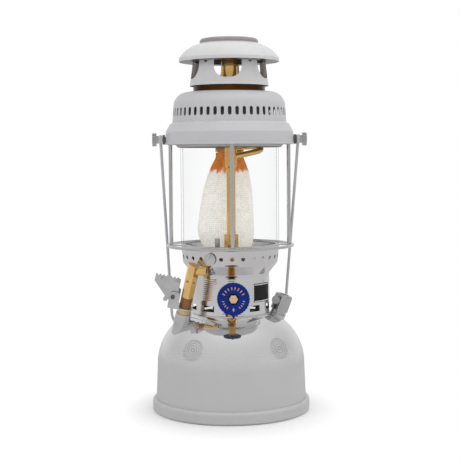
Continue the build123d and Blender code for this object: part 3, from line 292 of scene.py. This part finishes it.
def shroud_surface():
    """Bright plate outside, with painted shade inside: a dark colour inside the shroud stands in
    for the shade in there.
    """
    material, tree, shader = principled("shroud_plate")
    shader.inputs["Metallic"].default_value = 1.0
    place = coordinates(tree)["Object"]
    flat = vector_node(tree, "MULTIPLY", place, (1, 1, 0))["Vector"]
    inside = SHROUD_INSIDE - SHROUD_EDGE
    outside = map_range(tree, vector_length(tree, flat), inside * MM, SHROUD_INSIDE * MM)
    tone = spread_noise(tree, blotches(tree, SHROUD_BLOTCH_SCALE))
    bright = mix_colors(tree, tone, *SHROUD_BRIGHT)
    painted_inside_shade = mix_colors(tree, tone, *SHROUD_PAINTED_SHADE)
    tree.links.new(mix_colors(tree, outside, painted_inside_shade, bright), shader.inputs["Base Color"])
    tree.links.new(between(tree, outside, *SHROUD_ROUGHNESS), shader.inputs["Roughness"])
    return material


WHEEL_SPECULAR = 0.12
WHEEL_PAINT = ((0.004, 0.024, 0.20), (0.004, 0.020, 0.17))
# Painted shade: the back half of the wheel is coloured dark navy for the shade on its unlit side.
WHEEL_PAINTED_SHADE_BACK = (0.003, 0.004, 0.035)
# Painted shade: the recess around the nut is coloured black for the shade in it.
WHEEL_RECESS_SHADE = (0.008, 0.008, 0.01)
WHEEL_HUB = (0.62, 0.33, 0.08)
WHEEL_ROUGHNESS = (0.38, 0.46)
WHEEL_BLOTCH_SCALE = 60.0
WHEEL_RECESS_EDGE = 1.03
WHEEL_BACK_EDGE = 0.2
HUB_EDGE = 0.05


def wheel_surface():
    """Deep blue plastic on a brass hub, with painted shade: black in the recess around the nut and
    dark navy on the back half.
    """
    material, tree, shader = principled("blue_plastic")
    shader.inputs["Specular IOR Level"].default_value = WHEEL_SPECULAR
    place = coordinates(tree)["Object"]
    axes = split_axes(tree, place)
    middle = (0, 0, -WHEEL_HEIGHT * MM)
    offset = vector_node(tree, "MULTIPLY_ADD", place, (1, 0, 1), middle)["Vector"]
    recess = WHEEL_RECESS * MM
    face = map_range(tree, vector_length(tree, offset), recess, WHEEL_RECESS_EDGE * recess)
    shaded_back = map_range(tree, axes["Y"], (WHEEL_BACK - WHEEL_BACK_EDGE) * MM, WHEEL_BACK * MM)
    hub = map_range(tree, axes["Y"], (HUB_FRONT - HUB_EDGE) * MM, HUB_FRONT * MM)
    blotch = blotches(tree, WHEEL_BLOTCH_SCALE)
    tone = spread_noise(tree, blotch)
    plastic = mix_colors(tree, shaded_back, mix_colors(tree, tone, *WHEEL_PAINT), WHEEL_PAINTED_SHADE_BACK)
    rim = mix_colors(tree, face, WHEEL_RECESS_SHADE, plastic)
    tree.links.new(mix_colors(tree, hub, rim, WHEEL_HUB), shader.inputs["Base Color"])
    tree.links.new(hub, shader.inputs["Metallic"])
    rough = spread_noise(tree, blotch, *WHEEL_ROUGHNESS)
    tree.links.new(rough, shader.inputs["Roughness"])
    return material


TORCH_METALLIC = 0.6
TORCH_EDGE = 0.0004
TORCH_BROWN = ((0.34, 0.17, 0.07), (0.24, 0.11, 0.045))
TORCH_BRIGHT = ((0.93, 0.62, 0.25), (0.84, 0.53, 0.19))
TORCH_RING = (0.7, 0.5, 0.27)
# Painted shade: colour of the torch faces turned towards the burner and shroud.
TORCH_PAINTED_SHADE = (0.36, 0.18, 0.04)
TORCH_ROUGHNESS = (0.3, 0.12)
TORCH_BLOTCH_SCALE = 70.0
BURNER_WAY = (0.87, -0.3, 0.39)
SHADE_FACING = (0.45, 0.8)
SHADE_SHARE = 0.55


def torch_surface():
    """Brass torch: a polished six-sided head with painted shade on the faces turned to the burner,
    on a brown stem.
    """
    material, tree, shader = principled("torch_brass")
    shader.inputs["Metallic"].default_value = TORCH_METALLIC
    place = coordinates(tree)
    along = vector_node(tree, "DOT_PRODUCT", place["Object"], TORCH_WAY)["Value"]
    foot = sum(a * b for a, b in zip(TORCH_FOOT, TORCH_WAY)) * MM
    base = foot + TORCH_BASE * MM
    ring = foot + TORCH_PLATE * MM
    head = map_range(tree, along, base - TORCH_EDGE, base)
    stem = map_range(tree, along, ring, ring + TORCH_EDGE)
    tone = spread_noise(tree, blotches(tree, TORCH_BLOTCH_SCALE))
    brown = mix_colors(tree, tone, *TORCH_BROWN)
    bright = mix_colors(tree, tone, *TORCH_BRIGHT)
    lower = mix_colors(tree, stem, TORCH_RING, brown)
    # Painted shade: faces turned towards the burner are darkened for the shade there.
    inward = vector_node(tree, "DOT_PRODUCT", place["Normal"], BURNER_WAY)["Value"]
    painted_shade = map_range(tree, inward, *SHADE_FACING, 0.0, SHADE_SHARE)
    face = mix_colors(tree, painted_shade, bright, TORCH_PAINTED_SHADE)
    tree.links.new(mix_colors(tree, head, lower, face), shader.inputs["Base Color"])
    tree.links.new(between(tree, head, *TORCH_ROUGHNESS), shader.inputs["Roughness"])
    return material


SHEEN_ROUGHNESS = 0.03
SHEEN_BLEND = 0.12
SHEEN_RANGE = (0.2, 0.3)
EDGE_BLEND = 0.5
EDGE_FACING = (0.8, 1.0)
STREAK_SCALE = 14.0
STREAK_DETAIL = 2.0
STREAK_STRETCH = (1, 1, 0.1)


def facing(tree, blend):
    """How far a surface turns away from the view, from 0 to 1."""
    node = tree.nodes.new("ShaderNodeLayerWeight")
    node.inputs["Blend"].default_value = blend
    return node.outputs["Facing"]


def glass_surface(name, tint, edge, gloss):
    """Thin clear glass: what is behind it shows through unbent, with a sheen towards the edges."""
    material, tree, output = new_material(name)
    clear = tree.nodes.new("ShaderNodeBsdfTransparent")
    rim = map_range(tree, facing(tree, EDGE_BLEND), *EDGE_FACING)
    tree.links.new(mix_colors(tree, rim, tint, edge), clear.inputs["Color"])
    sheen = tree.nodes.new("ShaderNodeBsdfGlossy")
    sheen.inputs["Roughness"].default_value = SHEEN_ROUGHNESS
    sheen.inputs["Color"].default_value = (gloss, gloss, gloss, 1)
    streak = noise_node(tree, STREAK_SCALE, STREAK_DETAIL, STREAK_STRETCH)
    wave = spread_noise(tree, streak, *SHEEN_RANGE)
    outward = tree.nodes.new("ShaderNodeNewGeometry")
    front = between(tree, outward.outputs["Backfacing"], 1.0, 0.0)
    strength = math_node(tree, "MULTIPLY", front, wave)
    share = math_node(tree, "MULTIPLY", facing(tree, SHEEN_BLEND), strength)
    glass = mix_shaders(tree, share, clear.outputs["BSDF"], sheen.outputs["BSDF"])
    tree.links.new(glass, output.inputs["Surface"])
    return material


CLOTH = ((0.86, 0.845, 0.80), (0.79, 0.775, 0.725))
SCORCHED = ((0.70, 0.25, 0.06), (0.50, 0.15, 0.035))
SCORCH_HEIGHTS = (0.2670, 0.2710)
SCORCH_RAG = 0.016
RAG_SCALE = 260.0
RAG_DETAIL = 3.0
RAG_STRETCH = (1, 1, 0.35)
SOIL_SCALE = 120.0
SOIL_DETAIL = 4.0
SOIL_RANGE = (0.35, 0.65)
LOOP_RANDOMNESS = 0.35
LOOP_RANGE = (0.1, 0.6)
LOOP_SHADE = 0.78
LOOP_BUMP = 0.5
LOOP_DEPTH = 0.0006
CLOTH_THROUGH = 0.3
# Painted light: strength of the glow that brightens the unlit mantle.
MANTLE_PAINTED_LIGHT = 0.38


def mantle_surface():
    """Knitted cloth, off-white, with a copper-brown neck and a ragged edge between them, and
    painted light: a weak glow in its own colour brightens it, though it is no lamp.
    """
    material, tree, output = new_material("mantle_knit")
    height = split_axes(tree, coordinates(tree)["Object"])["Z"]
    ragged = noise_node(tree, RAG_SCALE, RAG_DETAIL, RAG_STRETCH)
    lift = math_node(tree, "MULTIPLY_ADD", ragged, SCORCH_RAG, height)
    neck = map_range(tree, lift, *SCORCH_HEIGHTS)
    soil = map_range(tree, noise_node(tree, SOIL_SCALE, SOIL_DETAIL), *SOIL_RANGE)
    cloth = mix_colors(tree, soil, *CLOTH)
    scorched = mix_colors(tree, soil, *SCORCHED)
    knit = tree.nodes.new("ShaderNodeUVMap")
    knit.uv_map = "knit"
    loops = tree.nodes.new("ShaderNodeTexVoronoi")
    loops.inputs["Scale"].default_value = 1.0
    loops.inputs["Randomness"].default_value = LOOP_RANDOMNESS
    tree.links.new(knit.outputs["UV"], loops.inputs["Vector"])
    dark = tree.nodes.new("ShaderNodeMix")
    dark.data_type = "RGBA"
    dark.blend_type = "MULTIPLY"
    dark.inputs["Factor"].default_value = 1.0
    tree.links.new(mix_colors(tree, neck, cloth, scorched), dark.inputs[6])
    shade = map_range(tree, loops.outputs["Distance"], *LOOP_RANGE, 1.0, LOOP_SHADE)
    tree.links.new(shade, dark.inputs[7])
    color = dark.outputs[2]
    diffuse = tree.nodes.new("ShaderNodeBsdfDiffuse")
    tree.links.new(color, diffuse.inputs["Color"])
    bump(tree, diffuse, loops.outputs["Distance"], LOOP_BUMP, LOOP_DEPTH)
    through = tree.nodes.new("ShaderNodeBsdfTranslucent")
    tree.links.new(color, through.inputs["Color"])
    thin = mix_shaders(tree, CLOTH_THROUGH, diffuse.outputs["BSDF"], through.outputs["BSDF"])
    # Painted light: the mantle glows a little in its own colour, though the lantern is not lit.
    painted_light = tree.nodes.new("ShaderNodeEmission")
    painted_light.inputs["Strength"].default_value = MANTLE_PAINTED_LIGHT
    tree.links.new(color, painted_light.inputs["Color"])
    lit = tree.nodes.new("ShaderNodeAddShader")
    tree.links.new(thin, lit.inputs[0])
    tree.links.new(painted_light.outputs["Emission"], lit.inputs[1])
    tree.links.new(lit.outputs["Shader"], output.inputs["Surface"])
    return material


# Plain surfaces: colour, second tone (none for a darker first one), metallic, roughness, the rest
ENAMEL = {"grain": 0.05, "coat": 0.15}
SURFACES = {
    "white_enamel": ((0.52, 0.52, 0.53), (0.505, 0.505, 0.515), 0.0, 0.38, ENAMEL),
    # Painted shade: the base ring is the same white enamel, given a darker colour for the shade
    # near the floor.
    "foot_enamel_painted_shade": ((0.48, 0.48, 0.485), (0.465, 0.465, 0.47), 0.0, 0.38, ENAMEL),
    # Painted light: the crown is the same white enamel, given a lighter colour for the light on it.
    "crown_enamel_painted_light": ((0.67, 0.665, 0.67), (0.65, 0.645, 0.65), 0.0, 0.38, ENAMEL),
    "bright_plate": ((0.70, 0.70, 0.705), None, 1.0, 0.14, {"grain": 0.02}),
    "gallery_plate": ((0.81, 0.80, 0.805), None, 1.0, 0.12, {"spread": 0.03}),
    "satin_plate": ((0.66, 0.66, 0.67), None, 0.75, 0.34, {"grain": 0.06}),
    "torch_plate": ((0.68, 0.675, 0.68), (0.56, 0.555, 0.56), 0.9, 0.24, {"grain": 0.04}),
    "cap_steel": ((0.62, 0.615, 0.62), (0.50, 0.495, 0.50), 1.0, 0.2, {"grain": 0.03}),
    "sooty_steel": ((0.22, 0.20, 0.19), (0.14, 0.12, 0.11), 1.0, 0.32, {}),
    "polished_brass": ((0.95, 0.62, 0.22), (0.82, 0.49, 0.14), 0.85, 0.15, {"grain": 0.02}),
    "heated_brass": ((0.62, 0.33, 0.08), (0.42, 0.19, 0.05), 1.0, 0.2, {"blotch_scale": 60.0}),
    "sooty_brass": ((0.12, 0.05, 0.012), (0.05, 0.024, 0.010), 1.0, 0.16, {"blotch_scale": 90.0}),
    "nut_brass": ((0.86, 0.60, 0.40), (0.74, 0.46, 0.27), 0.6, 0.3, {"blotch_scale": 220.0}),
    "copper": ((0.48, 0.20, 0.07), (0.3, 0.1, 0.035), 1.0, 0.25, {}),
    "ceramic": ((0.72, 0.70, 0.64), (0.66, 0.62, 0.55), 0.0, 0.6, {"grain": 0.1}),
    "leather": ((0.20, 0.10, 0.05), (0.13, 0.06, 0.03), 0.0, 0.5, {"grain": 0.3}),
    "rubber": ((0.02, 0.02, 0.02), (0.03, 0.03, 0.03), 0.0, 0.6, {"grain": 0.1}),
    "dial_white": ((0.75, 0.75, 0.72), None, 0.0, 0.4, {}),
    "black_enamel": ((0.008, 0.008, 0.009), (0.012, 0.012, 0.013), 0.0, 0.5, {"specular": 0.2}),
    "gold_paint": ((0.80, 0.42, 0.20), (0.7, 0.35, 0.16), 0.6, 0.35, {}),
    "grey_print": ((0.22, 0.215, 0.22), (0.30, 0.295, 0.30), 0.0, 0.5, {"blotch_scale": 200.0}),
}

# Banded surfaces: height of the change in mm, colour below, colour above, metallic, roughness
BANDED = {
    "casing_steel": (CASING_BASE + 0.7, (0.05, 0.045, 0.045), (0.5, 0.49, 0.48), 0.35, 0.4),
    # Painted shade: the cap's top disc is coloured darker for the shade on its upright wall.
    "cap_enamel_painted_shade": (DISC_BASE + 0.5, (0.6, 0.6, 0.605), (0.30, 0.27, 0.275), 0.0, 0.34),
}

# Glass: tint, tint at the edges, strength of the sheen
GLASSES = {
    "chimney_glass": ((0.992, 0.993, 0.994), (0.62, 0.63, 0.64), 0.7),
    "gauge_cover": ((0.95, 0.95, 0.95), (0.7, 0.7, 0.7), 0.9),
}

materials = {
    "tank_plate": tank_surface(),
    "shroud_plate": shroud_surface(),
    "torch_brass": torch_surface(),
    "blue_plastic": wheel_surface(),
    "mantle_knit": mantle_surface(),
}
for name, (*look, options) in SURFACES.items():
    materials[name] = surface(name, *look, **options)
for name, look in BANDED.items():
    materials[name] = banded_surface(name, *look)
for name, look in GLASSES.items():
    materials[name] = glass_surface(name, *look)

# Nodes that each material covers
COVERINGS = {
    "tank_plate": ["tank_shell"],
    "foot_enamel_painted_shade": ["base_ring"],
    "white_enamel": ["hood_shell"],
    "crown_enamel_painted_light": ["crown"],
    "cap_enamel_painted_shade": ["cap"],
    "casing_steel": ["hood_inner_casing"],
    "shroud_plate": ["shroud"],
    "gallery_plate": ["gallery"],
    "bright_plate": [
        "tank_collar", "cage_ring", "cage_brackets", "cage_rods", "pricker_rod", "pivot_studs",
    ],
    "satin_plate": [
        "tank_floor", "match_cover", "match_cover_rivet", "filler_neck", "pump_cap", "pump_knob",
        "bail",
    ],
    "torch_plate": ["preheater_base", "preheater_bracket", "preheater_lever"],
    "cap_steel": [
        "filler_cap", "vent_screw", "preheat_spout", "thumb_nut_left", "thumb_nut_right",
    ],
    "sooty_steel": ["crown_struts", "cap_ring", "burner_bracket", "preheater_pin", "hood_nuts"],
    "polished_brass": [
        "mixing_tube", "vaporizer_tube", "vaporizer_nut", "jet_nozzle", "valve_body",
        "suction_pipe", "preheater_valve", "pump_barrel", "pump_rod", "check_valve",
    ],
    "heated_brass": ["gas_chamber", "packing_nut", "spindle"],
    "sooty_brass": ["chimney_collar"],
    "nut_brass": ["handwheel_nut"],
    "torch_brass": ["preheater_body"],
    "copper": ["preheat_bowl"],
    "blue_plastic": ["handwheel"],
    "ceramic": ["ceramic_nozzle"],
    "leather": ["pump_leather"],
    "rubber": ["filler_gasket"],
    "dial_white": ["gauge_dial"],
    "black_enamel": ["gauge_pointer"],
    "chimney_glass": ["glass_chimney"],
    "gauge_cover": ["gauge_glass"],
}
for name, covered in COVERINGS.items():
    for node in (nodes[piece] for piece in covered):
        if node.material_slots:
            for held in node.material_slots:
                held.material = materials[name]
        else:
            node.data.materials.append(materials[name])


# Added pieces

def add_piece(name, vertices, faces, material, body, smooth=True):
    """Mesh piece, given in millimetres, that rides on a body."""
    mesh = bpy.data.meshes.new(name)
    mesh.from_pydata([[c * MM for c in v] for v in vertices], [], faces)
    mesh.materials.append(materials[material])
    for polygon in mesh.polygons:
        polygon.use_smooth = smooth
    piece = bpy.data.objects.new(name, mesh)
    scene.collection.objects.link(piece)
    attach(piece, body)
    return piece


def grid_faces(rows, columns):
    """Quads of a grid of rows by columns of vertices."""
    faces = []
    for i in range(rows - 1):
        for j in range(columns - 1):
            corner = i * columns + j
            faces.append((corner, corner + 1, corner + columns + 1, corner + columns))
    return faces


# Mantle: height, half width, half depth and sideways offset of its rings, in millimetres
MANTLE_RINGS = [
    (280.9, 14.8, 14.8, 0.0),
    (275.6, 15.0, 14.9, 0.0),
    (269.6, 17.6, 16.8, -0.4),
    (263.6, 20.2, 18.8, -0.8),
    (257.4, 22.3, 20.6, -1.2),
    (246.6, 25.2, 22.8, -2.0),
    (234.6, 27.4, 24.4, -2.9),
    (214.6, 29.5, 25.6, -3.9),
    (200.6, 30.8, 26.0, -4.7),
    (192.6, 30.6, 25.8, -4.6),
    (184.6, 28.6, 24.2, -3.4),
    (178.1, 25.2, 21.4, -2.4),
    (173.9, 20.0, 17.0, -2.0),
    (172.2, 12.0, 10.0, -2.0),
    (171.8, 0.6, 0.5, -2.0),
]
MANTLE_COLUMNS = 145
MANTLE_STEPS = 8
GATHER_BASE = 242.6
GATHER_RISE = 30.0
GATHER_SHARE = 0.35
GATHER_FOLDS = 18
GATHER_DEPTH = 0.05
KNIT_COLUMNS = 72
KNIT_ROW = 0.0022


def smooth_rings(rings, steps):
    """Rings drawn through the given ones with smooth curves."""
    out = []
    for i in range(len(rings) - 1):
        before = rings[max(i - 1, 0)]
        after = rings[min(i + 2, len(rings) - 1)]
        for step in range(steps):
            t = step / steps
            ring = []
            for p0, p1, p2, p3 in zip(before, rings[i], rings[i + 1], after):
                curve = 2 * p1 + (p2 - p0) * t
                curve += (2 * p0 - 5 * p1 + 4 * p2 - p3) * t**2
                curve += (3 * p1 - p0 - 3 * p2 + p3) * t**3
                ring.append(curve / 2)
            out.append(tuple(ring))
    out.append(rings[-1])
    return out


def make_mantle():
    """Knitted bag with gathers at its neck and a slightly uneven wall."""
    rings = smooth_rings(MANTLE_RINGS, MANTLE_STEPS)
    vertices = []
    for z, wide, deep, shift in rings:
        gather = GATHER_SHARE * max(0.0, min(1.0, (z - GATHER_BASE) / GATHER_RISE))
        for column in range(MANTLE_COLUMNS):
            turn = math.pi * (2 * column / (MANTLE_COLUMNS - 1) - 1)
            pleat = math.sin(GATHER_FOLDS * turn + 0.4 * math.sin(5 * turn))
            fold = 1 + gather * GATHER_DEPTH * pleat
            sag = 1 + 0.006 * math.sin(3 * turn + z * 0.07)
            sag += 0.004 * math.sin(7 * turn - z * 0.11)
            across = shift + wide * fold * sag * math.sin(turn)
            vertices.append((across, -deep * fold * sag * math.cos(turn), z))
    faces = [face[::-1] for face in grid_faces(len(rings), MANTLE_COLUMNS)]
    bag = add_piece("mantle_bag", vertices, faces, "mantle_knit", "lantern")
    knit = bag.data.uv_layers.new(name="knit")
    for polygon in bag.data.polygons:
        for i in polygon.loop_indices:
            vertex = bag.data.loops[i].vertex_index
            around = vertex % MANTLE_COLUMNS / (MANTLE_COLUMNS - 1)
            up = bag.data.vertices[vertex].co.z / KNIT_ROW
            knit.data[i].uv = (around * KNIT_COLUMNS, up)
    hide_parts("mantle")


make_mantle()

LABEL_TURNS = (34.5, 70.0)
LABEL_COLUMNS = 24
PRINT_LIFT = 0.05


def shroud_patch(name, low, high, lift, material):
    """Thin sheet bent around the shroud between two heights, as wide as the label."""
    start, end = LABEL_TURNS
    reach = SHROUD_SKIN + lift
    vertices = []
    for z in (low, high):
        for j in range(LABEL_COLUMNS):
            turn = math.radians(start + (end - start) * j / (LABEL_COLUMNS - 1))
            vertices.append((reach * math.sin(turn), -reach * math.cos(turn), z))
    add_piece(name, vertices, grid_faces(2, LABEL_COLUMNS), material, "lantern")


shroud_patch("label_plate", 120.9, 140.6, 0.0, "black_enamel")
shroud_patch("label_line_top", 139.2, 140.0, PRINT_LIFT, "dial_white")
shroud_patch("label_line_foot", 121.5, 122.3, PRINT_LIFT, "dial_white")

ROSETTE_RISE = 24.6
ROSETTE_LIFT = 0.12
PETALS = 28
PETAL_SHARE = 0.28
PETAL_REACH = (8.9, 11.9)
PETAL_STEPS = 2

# Rings of a rosette: inner radius, outer radius and steps around
ROSETTE_RINGS = [(7.2, 7.6, 48), (4.6, 5.2, 40), (1.6, 2.4, 32)]


def dome_point(turn, rise, lift):
    """Point above the tank's dome at an azimuth and at an angle up its arc, in radians."""
    reach = DOME_CENTRE + (DOME_RADIUS + lift) * math.cos(rise)
    height = SHOULDER_HEIGHT + (DOME_RADIUS + lift) * math.sin(rise)
    return (reach * math.sin(turn), -reach * math.cos(turn), height)


def medallion(name, turn_degrees):
    """Plain rosette printed on the dome."""
    turn0 = math.radians(turn_degrees)
    rise0 = math.asin(ROSETTE_RISE / DOME_RADIUS)
    reach = DOME_CENTRE + DOME_RADIUS * math.cos(rise0)
    vertices = []
    faces = []

    def ring_part(inner, outer, start, end, steps):
        base = len(vertices)
        for step in range(steps + 1):
            angle = start + (end - start) * step / steps
            for radius in (inner, outer):
                turn = turn0 + radius * math.cos(angle) / reach
                rise = rise0 + radius * math.sin(angle) / DOME_RADIUS
                vertices.append(dome_point(turn, rise, ROSETTE_LIFT))
        for step in range(steps):
            a = base + 2 * step
            faces.append((a, a + 2, a + 3, a + 1))

    half = PETAL_SHARE * math.pi / PETALS
    for petal in range(PETALS):
        middle = 2 * math.pi * petal / PETALS
        ring_part(*PETAL_REACH, middle - half, middle + half, PETAL_STEPS)
    for inner, outer, steps in ROSETTE_RINGS:
        ring_part(inner, outer, 0.0, 2 * math.pi, steps)
    add_piece(name, vertices, faces, "grey_print", "lantern")


medallion("medallion_left", -34.2)
medallion("medallion_right", 40.5)

# Ticks on the handwheel: angles from the top in degrees, inner radius, outer radius, half width
UPPER_TICKS = [-63 + 18 * step for step in range(8)]
LOWER_TICKS = [side * (102 + 14 * step) for side in (-1, 1) for step in range(4)]
TICK_ROWS = [(UPPER_TICKS, 9.6, 12.6, 2.6), (LOWER_TICKS, 9.8, 12.0, 2.5)]
DIAMOND = ((0, -13.2), (1.3, -10.9), (0, -8.6), (-1.3, -10.9))
TICK_LIFT = 0.12


def wheel_marks():
    """Gold ticks around the handwheel's face and a diamond above its pointer."""
    vertices = []
    faces = []

    def wheel_point(x, z):
        vertices.append((x, WHEEL_FACE - TICK_LIFT, WHEEL_HEIGHT + z))

    for angles, inner, outer, half in TICK_ROWS:
        for degrees in angles:
            base = len(vertices)
            for offset in (-half, half):
                angle = math.radians(degrees + offset)
                for radius in (inner, outer):
                    wheel_point(radius * math.sin(angle), radius * math.cos(angle))
            faces.append((base, base + 1, base + 3, base + 2))
    base = len(vertices)
    for x, z in DIAMOND:
        wheel_point(x, z)
    faces.append((base, base + 1, base + 2, base + 3))
    add_piece("wheel_marks", vertices, faces, "gold_paint", "handwheel", smooth=False)


wheel_marks()


# Floor, light, world and camera

FLOOR_HALF = 3.0
FLOOR_DROP = 0.0002
FLOOR_OVAL = (1.2, 1, 1)
FLOOR_FADE = (0.088, 0.142)
FLOOR_GREY = (0.78, 0.78, 0.78, 1)
FLOOR_MIRRORED = (0.60, 0.595, 0.60, 1)
PURE_WHITE = (1, 1, 1, 1)


def glow_node(tree, color):
    """Emission of a plain colour."""
    node = tree.nodes.new("ShaderNodeEmission")
    node.inputs["Color"].default_value = color
    return node.outputs["Emission"]


def floor_surface():
    """Grey floor that fades to white for the camera and has an even tone in mirrors."""
    material, tree, output = new_material("floor_white")
    oval = vector_node(tree, "MULTIPLY", coordinates(tree)["Object"], FLOOR_OVAL)["Vector"]
    fade = map_range(tree, vector_length(tree, oval), *FLOOR_FADE)
    path = tree.nodes.new("ShaderNodeLightPath").outputs
    diffuse = tree.nodes.new("ShaderNodeBsdfDiffuse")
    diffuse.inputs["Color"].default_value = FLOOR_GREY
    seen = math_node(tree, "MULTIPLY", fade, path["Is Camera Ray"])
    ground = mix_shaders(tree, seen, diffuse.outputs["BSDF"], glow_node(tree, PURE_WHITE))
    mirrored = glow_node(tree, FLOOR_MIRRORED)
    either = mix_shaders(tree, path["Is Glossy Ray"], ground, mirrored)
    tree.links.new(either, output.inputs["Surface"])
    return material


def make_floor():
    """Wide flat floor just under the part."""
    mesh = bpy.data.meshes.new("floor")
    corners = [(x * FLOOR_HALF, y * FLOOR_HALF, 0) for x, y in ((-1, -1), (1, -1), (1, 1), (-1, 1))]
    mesh.from_pydata(corners, [], [(0, 1, 2, 3)])
    mesh.materials.append(floor_surface())
    floor = bpy.data.objects.new("floor", mesh)
    scene.collection.objects.link(floor)
    floor.location.z = -FLOOR_DROP


make_floor()

# Lights: name, place, size in metres and power in watts
LIGHTS = [
    ("top_light", (0.2, -0.1, 1.45), 1.4, 11.5),
    ("left_light", (-1.3, -0.9, 0.8), 0.9, 5.4),
    ("right_light", (1.4, -0.7, 0.7), 0.9, 4.4),
]
LIGHT_TARGET = (0, 0, 0.2)


def area_light(name, location, size, power):
    """Square soft light at a place, turned towards the part and unseen in mirrors."""
    light = bpy.data.lights.new(name, "AREA")
    light.size = size
    light.energy = power
    lamp = bpy.data.objects.new(name, light)
    lamp.location = location
    way = Vector(LIGHT_TARGET) - Vector(location)
    lamp.rotation_euler = way.to_track_quat("-Z", "Y").to_euler()
    lamp.visible_glossy = False
    scene.collection.objects.link(lamp)


for light in LIGHTS:
    area_light(*light)


# Colours of the studio and of what mirrors show, by height from straight down, 0, to straight up, 1
STUDIO_STOPS = [(0.40, (0.42, 0.42, 0.43)), (0.62, (0.66, 0.66, 0.67))]
STUDIO_STRENGTH = 0.95
TENT_STOPS = [
    (0.58, (0.51, 0.505, 0.51)),
    (0.68, (0.525, 0.525, 0.525)),
    (0.78, (0.565, 0.565, 0.565)),
    (0.86, (0.605, 0.605, 0.605)),
    (0.925, (0.645, 0.645, 0.645)),
    (0.96, (0.69, 0.69, 0.69)),
    (0.99, (0.77, 0.77, 0.77)),
]
BACK_WALL = (0.74, 0.74, 0.74)
BACK_RANGE = (0.4, 1.0)
OVERHEAD = (0.35, 0.34, 0.345)
OVERHEAD_WAY = (0.0, 0.148, 0.989)
OVERHEAD_RANGE = (0.89, 0.90)


def background(tree, color, strength=1.0):
    """Background of a colour, a socket or a plain one."""
    node = tree.nodes.new("ShaderNodeBackground")
    put(tree, node.inputs["Color"], color)
    node.inputs["Strength"].default_value = strength
    return node.outputs["Background"]


def make_world():
    """White to the camera and through glass, a soft studio as light, a tent in mirrors."""
    world = bpy.data.worlds.new("studio")
    scene.world = world
    world.use_nodes = True
    tree = world.node_tree
    tree.nodes.clear()
    output = tree.nodes.new("ShaderNodeOutputWorld")
    path = tree.nodes.new("ShaderNodeLightPath").outputs
    way = coordinates(tree)["Generated"]
    axes = split_axes(tree, way)
    height = map_range(tree, axes["Z"], -1.0, 1.0)
    studio = background(tree, color_ramp(tree, height, STUDIO_STOPS), STUDIO_STRENGTH)
    zenith = vector_node(tree, "DOT_PRODUCT", way, OVERHEAD_WAY)["Value"]
    overhead = map_range(tree, zenith, *OVERHEAD_RANGE)
    behind = map_range(tree, axes["Y"], *BACK_RANGE)
    walls = mix_colors(tree, behind, color_ramp(tree, height, TENT_STOPS), BACK_WALL)
    mirrored = background(tree, mix_colors(tree, overhead, walls, OVERHEAD))
    room = mix_shaders(tree, path["Is Glossy Ray"], studio, mirrored)
    seen = math_node(tree, "MAXIMUM", path["Is Camera Ray"], path["Is Transmission Ray"])
    all_rays = mix_shaders(tree, seen, room, background(tree, PURE_WHITE))
    tree.links.new(all_rays, output.inputs["Surface"])


make_world()

CAMERA_DISTANCE = 1.209
CAMERA_HEIGHT = 0.2786
CAMERA_PITCH = math.radians(3.893)
CAMERA_TURN = math.radians(2.1)
CAMERA_ROLL = math.radians(0.4)
CAMERA_AIM = math.radians(-0.02)
CAMERA_SENSOR = 36.0
CAMERA_LENS = 86.7

camera_data = bpy.data.cameras.new("camera")
camera_data.sensor_width = CAMERA_SENSOR
camera_data.lens = CAMERA_LENS
camera = bpy.data.objects.new("camera", camera_data)
camera_side = -CAMERA_DISTANCE * math.sin(CAMERA_TURN)
camera.location = (camera_side, -CAMERA_DISTANCE * math.cos(CAMERA_TURN), CAMERA_HEIGHT)
camera.rotation_euler = (math.pi / 2 - CAMERA_PITCH, CAMERA_ROLL, CAMERA_AIM - CAMERA_TURN)
scene.collection.objects.link(camera)
scene.camera = camera
scene.view_settings.view_transform = "Standard"
